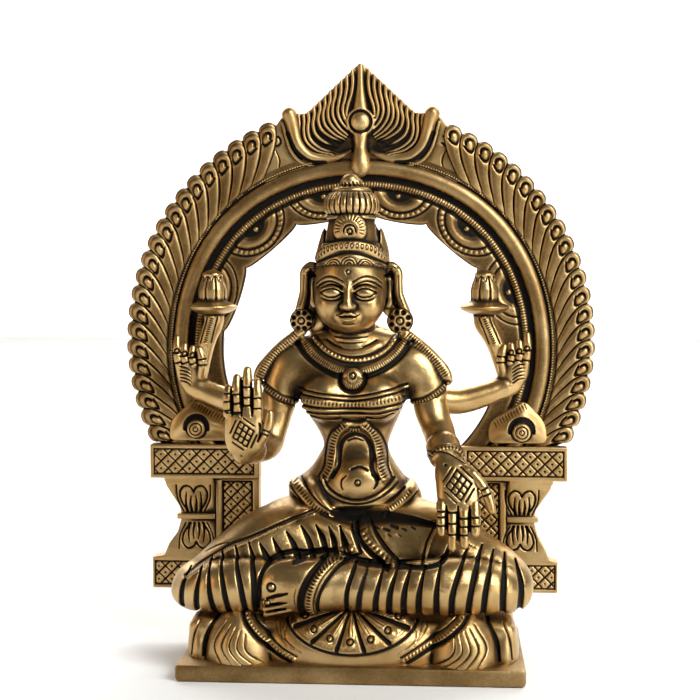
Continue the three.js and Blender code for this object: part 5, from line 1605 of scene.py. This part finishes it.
def rear_arm(side, elbow, wrist, flower_x):
    """One rear arm from the shoulder to the flower: elbow and wrist in mm."""
    name = "rear_arm_right" if side > 0 else "rear_arm_left"
    out = max(abs(wrist[0]), abs(flower_x)) + 13
    low_x, high_x = (18, out) if side > 0 else (-out, -18)
    clay = Clay((low_x, 10, 94), (high_x, 33.4, 163.6), 0.9)
    x0, y0, z0 = wrist
    sx = lambda value: side * value
    middle = [(a + b) / 2 for a, b in zip(elbow, wrist)]
    clay.limb([[sx(22), 14, 117, 6.4, 6.2], [elbow[0] - sx(2), elbow[1] - 1, elbow[2] + 1.5, 5.6, 5.6],
               [elbow[0] + sx(5), elbow[1] + 0.6, elbow[2] + 0.6, 5.6, 5.4],
               [middle[0] + sx(3), middle[1] + 0.4, middle[2] - 0.4, 5.2, 5.0],
               [x0, y0, z0, 4.5, 4.2]], soft=0, across=(0, 1, 0), count=30)
    hand_x = x0 + sx(1.6)
    clay.limb([[hand_x, 23.8, z0 + 0.6, 4.4, 3.8], [hand_x + sx(1.4), 23.4, z0 + 6, 5.7, 4.2],
               [hand_x + sx(2.2), 23.4, z0 + 12, 5.4, 3.4]], soft=1.6)
    top = FLOWER_FOOT
    stem_x = (x0 + flower_x) / 2
    clay.limb([[x0 - sx(1.6), 23.2, z0 + 5, 2.8, 2.8], [stem_x - sx(1.4), 22.2, top - 13, 3.8, 3.4],
               [flower_x - sx(0.4), 21.6, top - 6, 4.2, 3.8], [flower_x, 21.4, top - 1, 4.6, 4.2]], soft=1.4)
    clay = clay.refine(3)
    clay.limb([[x0 - sx(3.6), y0, z0 - 1.4, 5.1, 4.9], [x0 - sx(1.0), y0, z0 - 0.3, 5.1, 4.9]],
              soft=0.25, across=(0, 1, 0))
    clay.limb([[x0 - sx(6.0), y0, z0 - 2.2, 4.9, 4.7], [x0 - sx(5.0), y0, z0 - 1.8, 4.9, 4.7]],
              soft=0.25, across=(0, 1, 0))
    for out_by, low_z, high_z in ((6.2, 7.5, 21.6), (3.0, 8.5, 18.4), (-0.4, 8.6, 17.2)):
        spot = hand_x + sx(out_by)
        ring_z = z0 + (low_z + high_z) / 2
        finger(clay, [[spot - sx(0.9), 21.8, z0 + low_z], [spot, 20.4, ring_z - 1],
                      [spot + sx(0.3), 20.6, z0 + high_z - 3.4], [spot + sx(0.2), 21.4, z0 + high_z]], 1.65,
               (0.3, 0.62), FAR_REAR_HAND)
        clay.circle(spot, ring_z + 1.4, 1.1, 0.38, 0.4, 0.95, far=FAR_REAR_HAND)
        clay.dot(spot, ring_z + 1.4, 0.6, -0.3, far=FAR_REAR_HAND)
    thumb = [[hand_x - sx(3.2), 21.8, z0 + 5], [hand_x - sx(4.4), 20.2, z0 + 9.4],
             [hand_x - sx(4.2), 19.8, z0 + 13.4], [hand_x - sx(3.2), 20.2, z0 + 16.6]]
    finger(clay, thumb, 1.7, (0.5, 0.7), FAR_REAR_HAND)
    for k in range(5):
        base = z0 + 1.4 + 1.5 * k
        clay.stroke([[hand_x + sx(0.2), base, 0.25], [hand_x + sx(2.4), base + 1.5, 0.42],
                     [hand_x + sx(5.2), base + 1.9, 0.25]], 0.4, 0.5, 0.9, far=FAR_REAR_HAND)

    def on_stem(low_out, high_out):
        return [[stem_x + sx(low_out), top - 15.4], [flower_x + sx(high_out), top - 4.6]]

    clay.coats(on_stem(-0.6, -0.2), FAR_STEM, (1.15, -0.5), (1.15, 0.45, 0.8, 0.95))
    clay.stroke(on_stem(1.6, 2.0), 0.4, 0.4, 0.85, far=FAR_STEM)
    clay.stroke(on_stem(-3.0, -2.4), 0.4, 0.4, 0.85, far=FAR_STEM)
    centre = (flower_x, 21.2, top)
    clay.spin(LOTUS_PROFILE, centre, soft=0.3)

    def petals(x, y, z):
        turn = np.arctan2(x - flower_x, -(y - centre[1]))
        part = (turn * 8 / (2 * np.pi)) % 1 - 0.5
        level = z - top
        lines = ridge(part, 0.11) * step(2.6, 3.6, level) * step(13.0, 12.2, level)
        tips = ridge(np.hypot(part * 5.2, level - 10.4) - 2.2, 0.3) * (level > 10.4) * (level < 12.8)
        drops = ridge(np.hypot(part * 4.6, level - 3.4), 0.9)
        return np.clip(lines + tips + drops, 0, 1)

    clay.engrave((flower_x - 8, 12, top), (flower_x + 8, 31, top + 15), petals, 0.5, 0.85)
    piece(name, clay, *FIGURE_METAL, REAR_ARM_LIMIT)


rear_arm(1, [35.6, 20, 104.4], [62.4, 24, 111.4], 52.6)
rear_arm(-1, [-41, 20, 102.6], [-69, 24, 109.8], -61.7)

# %% [markdown]
# ## The crossed legs
# The legs lie crossed under pleated cloth: dark wedges part its bands, and they lean with the limb under
# them. One bare foot comes out in front, with a beaded anklet and a ring on the great toe.

# %% The legs
legs = Clay((-77, -39, 21.6), (76.6, 29, 69.4), 1.0)
LAP = [[0, 9, 22.7, 25, 18], [0, 9, 44, 27.6, 19], [0, 10, 57, 27, 15.4], [0, 10, 62, 24, 12.4]]
legs.column(LAP, soft=0)
THIGHS = ([[-12, 4, 47.6, 19.6, 18], [-30, 0, 45.6, 19.4, 18.4], [-46, -5, 40, 15, 17],
           [-58, -9, 34, 11.4, 13.4], [-64, -12, 32, 9.4, 10], [-66.8, -12, 31, 7, 7]],
          [[12, 4, 47.6, 19.6, 18], [30, 0, 46, 19.4, 18.4], [46, -5, 40.6, 15.4, 16],
           [56, -9, 36.6, 13.6, 13], [61, -11, 34.6, 11.4, 10.6], [63.6, -12, 33.4, 9.8, 8]])
SHINS = ([[-65.4, -12, 31.2, 7.4, 8], [-60, -17, 33.0, 9.4, 10], [-46, -22, 34.9, 11.0, 10.4],
          [-28, -20, 35.2, 10.2, 10], [-8, -14, 34.8, 9, 8]],
         [[63.4, -13, 32.2, 8.2, 8], [58, -17, 34, 9.8, 10.2], [42, -22.6, 35.8, 11.6, 10.8],
          [20, -24, 35.4, 10.0, 10.4], [2, -24.6, 35.2, 9.2, 9.8]])
for knots in THIGHS:
    legs.limb(knots, soft=3, across=(0, 0, 1), count=30)
for knots in SHINS:
    legs.limb(knots, soft=0.8, across=(0, 0, 1), count=30)
legs.ball((4, -1, 42), (34, 19, 19), soft=4)
legs.ball((-25, 8, 57.6), (12.4, 12, 9), soft=4)
legs.ball((20, 8, 58), (11.4, 12, 9), soft=4)
legs.limb([[-20, -8, 60, 4, 4], [-8, -12.4, 57, 4, 4], [2, -15, 52, 3.4, 3.4]], soft=3)
legs = legs.refine(3)

# %% [markdown]
# The wedges are drawn as tapering lines from above to below. Over the left thigh a beaded seam parts the
# wedges from the fine folds above it.

# %% Pleats, seams and the foot's jewellery
WEDGES = [
    [[-64.8, 41.2], [-67.2, 34], [-68.2, 26]], [[-59.3, 42.8], [-60.7, 33], [-61.2, 22]],
    [[-56.3, 46.0], [-55.3, 34], [-53.0, 22]], [[-52.2, 48.4], [-49.8, 37], [-47.2, 22]],
    [[-46.8, 50.2], [-43.4, 39.4], [-40.8, 24]], [[-41.4, 51.4], [-38.2, 42.6], [-37.2, 26]],
    [[-37.0, 51.4], [-34.6, 47.2], [-32.6, 43]], [[-31.8, 53.2], [-29.2, 47.8], [-27.0, 43]],
    [[-26.6, 55.6], [-23.6, 50.8], [-21.6, 44]], [[-20.8, 57.6], [-17.6, 52], [-15.4, 44]],
    [[-14.9, 58.2], [-12.4, 53.6], [-10.3, 47]], [[-9.6, 58.0], [-7.8, 53.2], [-6.6, 48]],
    [[-5.0, 58.0], [-3.6, 53.2], [-2.6, 48]],
    [[2.2, 44.4], [-1.0, 35.9], [-1.7, 22]], [[6.9, 44.8], [4.1, 35], [2.9, 22]],
    [[13.1, 44.8], [10.4, 34], [9.5, 22]], [[18.7, 44.8], [15.9, 36], [15.1, 22]],
    [[23.7, 45.0], [21.4, 36.4], [20.8, 22]], [[29.2, 45.4], [27.0, 35.4], [26.7, 22]],
    [[35.2, 46.4], [33.7, 36.4], [33.7, 22]], [[45.6, 50.4], [42.3, 43], [39.7, 34], [39.5, 22]],
    [[51.4, 51.2], [49.5, 46], [46.6, 34], [45.2, 22]], [[55.8, 49.4], [52.8, 37.4], [51.3, 22]],
    [[60.3, 48.2], [59.6, 40], [59.1, 22]], [[64.4, 45.6], [66.4, 37.5], [65.9, 24]],
]
FAR_LAP = 4
FAR_ANKLE = -12
FAR_TOES = -20
for wedge in WEDGES:
    widths = (0.35, 1.1, 1.45, 1.45) if len(wedge) == 4 else (0.35, 1.3, 1.45)
    legs.stroke([[x, z, w] for (x, z), w in zip(wedge, widths)], 1.2, 1.25, 1.0, far=FAR_LAP)
FOOT = [[6, -24.8, 35.6, 9.4, 9.4], [-6, -25, 36.4, 10.2, 9.4], [-14, -26.2, 36.6, 10.6, 9.6],
        [-21, -27, 36.8, 10.8, 9.0], [-27, -27.6, 36.4, 10.4, 7.6], [-30.6, -27.8, 35.6, 9.2, 6.2]]
legs.limb(FOOT, soft=0.5, across=(0, 0, 1), count=30)
GREAT_TOE = [[-24, -29, 39.6, 5.6, 5.2], [-29, -30, 38.2, 4.8, 5], [-31.2, -30, 37.2, 4.0, 4.4]]
legs.limb(GREAT_TOE, soft=1.0, across=(0, 0, 1))
for x, z, size in ((-32.0, 30.9, 1.7), (-32.3, 28.3, 1.5), (-32.2, 26.1, 1.2)):
    legs.limb([[x + 9, -30.4, z + 1.7, size, size * 1.6], [x + 3, -31.6, z + 0.8, size, size * 1.6],
               [x - 0.6, -31.8, z, size, size * 1.3]], soft=0.3, across=(0, 0, 1))
wiped = legs.window((-35.4, -40, 20), (-1, -17, 47.4))[0]
legs.stain[wiped] = 0
SEAM_LEFT = [[-66.8, 37.4], [-57.6, 44.2], [-48.4, 49.5], [-40.1, 52.9], [-30.9, 57.0], [-20.7, 61.0],
             [-16, 62.8]]
legs.stroke(moved(SEAM_LEFT, up=0.9), 0.7, 0.5, 0.8, far=14)
legs.coats(SEAM_LEFT, 14, (0.75, -0.8), (0.6, 0.3, 0.55, 1.0))
for k in range(7):
    x = -60 + 7.4 * k
    z = 46.4 + 2.55 * k
    legs.stroke([[x, z, 0.15], [x + 6, z + 3.2, 0.34], [x + 13, z + 5.2, 0.15]], 0.3, 0.28, 0.55, far=18)
LAP_LINE = [[-22, 46.0], [-12, 48.6], [-3, 47.6], [3, 45.6], [11.9, 44.6], [21.9, 44.4], [30.8, 44.8],
            [36, 46.6], [38.8, 51.6]]
legs.stroke(LAP_LINE, 1.0, 1.1, 1.0, far=FAR_LAP)
SASH = [[3.2, 59.6], [5.2, 54.4], [8.6, 50.2], [13.2, 46.8], [16.4, 45.2]]
legs.stroke(moved(SASH, -2.0, -1.6), 1.2, 1.2, 1.0, far=FAR_LAP)
legs.coats(SASH, FAR_LAP, (1.9, -1.2), (1.7, 0.35, 0.6, 2.0))
SASH_FOLD = [[6.6, 59.8, 0.3], [9.3, 55.3, 0.9], [13.3, 50.0, 1.0], [17.9, 45.3, 0.6]]
legs.stroke(SASH_FOLD, 0.8, 1.2, 1.0, far=FAR_LAP)
LAP_FOLD = [[-0.8, 58.2, 0.3], [1.3, 53.4, 0.9], [3.4, 48.2, 0.9]]
for shift, deep in ((0, 1.2), (-4.4, 0.8)):
    legs.stroke(moved(LAP_FOLD, shift), 0.6, deep, 1.0, far=FAR_LAP)
legs.stroke([[32.8, 59.0], [29.5, 52.4], [27.8, 45.2]], 0.5, 0.6, 0.95, far=8)
legs.stroke([[34.0, 59.2], [30.7, 52.8], [29.0, 45.6]], 0.6, -0.5, far=8)
# The hollow between belly and lap is carved; its dark stain and marks paint the shade that falls under the
# belly
HOLLOW_LINE = [[-13, 62.4, 1.0], [-3, 61.2, 3.4], [4.1, 60.6, 4.0], [10.8, 60.8, 3.4], [21.6, 60.2, 2.6],
               [35, 58.0, 1.2]]
legs.stroke(HOLLOW_LINE, 1.6, 0.8, 0.75, far=10)
legs.stroke([[x, z + 0.6, half * 0.45] for x, z, half in HOLLOW_LINE], 1.6, 0.8, 1.0, far=10)
HOLLOW_MARKS = ((9.5, 57.2, 0.7), (13.2, 56.6, 1.1), (16.4, 57.6, 1.3), (20.2, 56.9, 0.9),
                (14.4, 54.6, 0.6), (24, 57.4, 0.8), (18.6, 54.6, 0.5), (26.2, 54.4, 0.4))
for x, z, size in HOLLOW_MARKS:
    legs.stroke([[x - size, z + 0.3, size * 0.5], [x + size, z - 0.4, size * 0.7]], 0.5, 0.35, 0.85, far=10)
for x, z, reach in ((36, 55.6, 7), (38, 53.4, 8), (41.6, 52.2, 7), (30.8, 60.4, 6), (35.4, 57.8, 6)):
    fold = [[x, z, 0.15], [x + reach / 2, z - 0.5, 0.32], [x + reach, z - 1.9, 0.15]]
    legs.stroke(fold, 0.3, 0.3, 0.7, far=14)

ANKLET = [[-0.6, 49.2], [-6.8, 46.8], [-11.0, 42.8], [-13.8, 38.1], [-15.3, 32.6], [-15.4, 28.6], [-14, 25]]
legs.stroke(moved(ANKLET[1:], -3.6, -0.6), 1.7, 1.4, 1.0, far=FAR_ANKLE)
legs.stroke(moved(ANKLET, 2.9, -1.8), 0.8, 0.8, 1.0, far=FAR_ANKLE)
legs.stroke(ANKLET, 2.1, -1.7, far=FAR_ANKLE)
legs.stroke(moved(ANKLET, -0.5, 0.1), 1.35, 0.7, 0.8, tick=1.35, far=FAR_ANKLE)
legs.stroke(moved(ANKLET, 1.5, -0.6), 0.3, 0.3, 0.75, far=FAR_ANKLE)
legs.stroke([[1.7, 44.4], [-0.8, 36.8], [-1.3, 22]], 1.0, 1.1, 1.0, far=FAR_ANKLE)
FOOT_EDGE = [[-36.4, 28], [-35.6, 34], [-35.0, 40], [-31.8, 45.4], [-25, 47.8], [-16, 47.6], [-8, 48.6]]
legs.stroke(FOOT_EDGE, 1.1, 1.3, 1.0, far=-8)
legs.stroke([[-20.6, 37, 0.25], [-21.4, 33, 0.3], [-21.0, 28.6, 0.25]], 0.3, 0.25, 0.6, far=-14)
under = legs.window((-80, -40, 20), (80, 40, 22.7))[0]
legs.field[under] = FAR
legs.circle(-30.4, 37.0, 1.7, 0.5, 0.6, 1.0, far=FAR_TOES)
legs.dot(-30.4, 37.0, 1.0, -0.6, far=FAR_TOES)
for low, high, half in (([-32.4, 32.3], [-23.9, 34.8], 0.85), ([-32.8, 29.3], [-24.3, 30.9], 0.75),
                        ([-32.6, 26.9], [-25.1, 28.1], 0.55)):
    middle = [(low[0] + high[0]) / 2, (low[1] + high[1]) / 2 + 0.2, half]
    legs.stroke([[*low, 0.3], middle, [*high, 0.3]], 0.5, 1.1, 1.0, far=FAR_TOES)
legs.dot(-32.0, 30.7, 0.9, -0.5, far=FAR_TOES)
legs.circle(-32.0, 30.7, 1.2, 0.3, 0.4, 0.9, far=FAR_TOES)
LEGS_LIMIT = 120000
piece("legs", legs, *FIGURE_METAL, LEGS_LIMIT)

# %% [markdown]
# ## Ready
# Each piece gets its metal. The size of the whole is measured once the new pieces are in.

# %% Materials and measures
for made, slot in pieces.values():
    made.data.materials.clear()
    made.data.materials.append(brass[slot])
low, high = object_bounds()
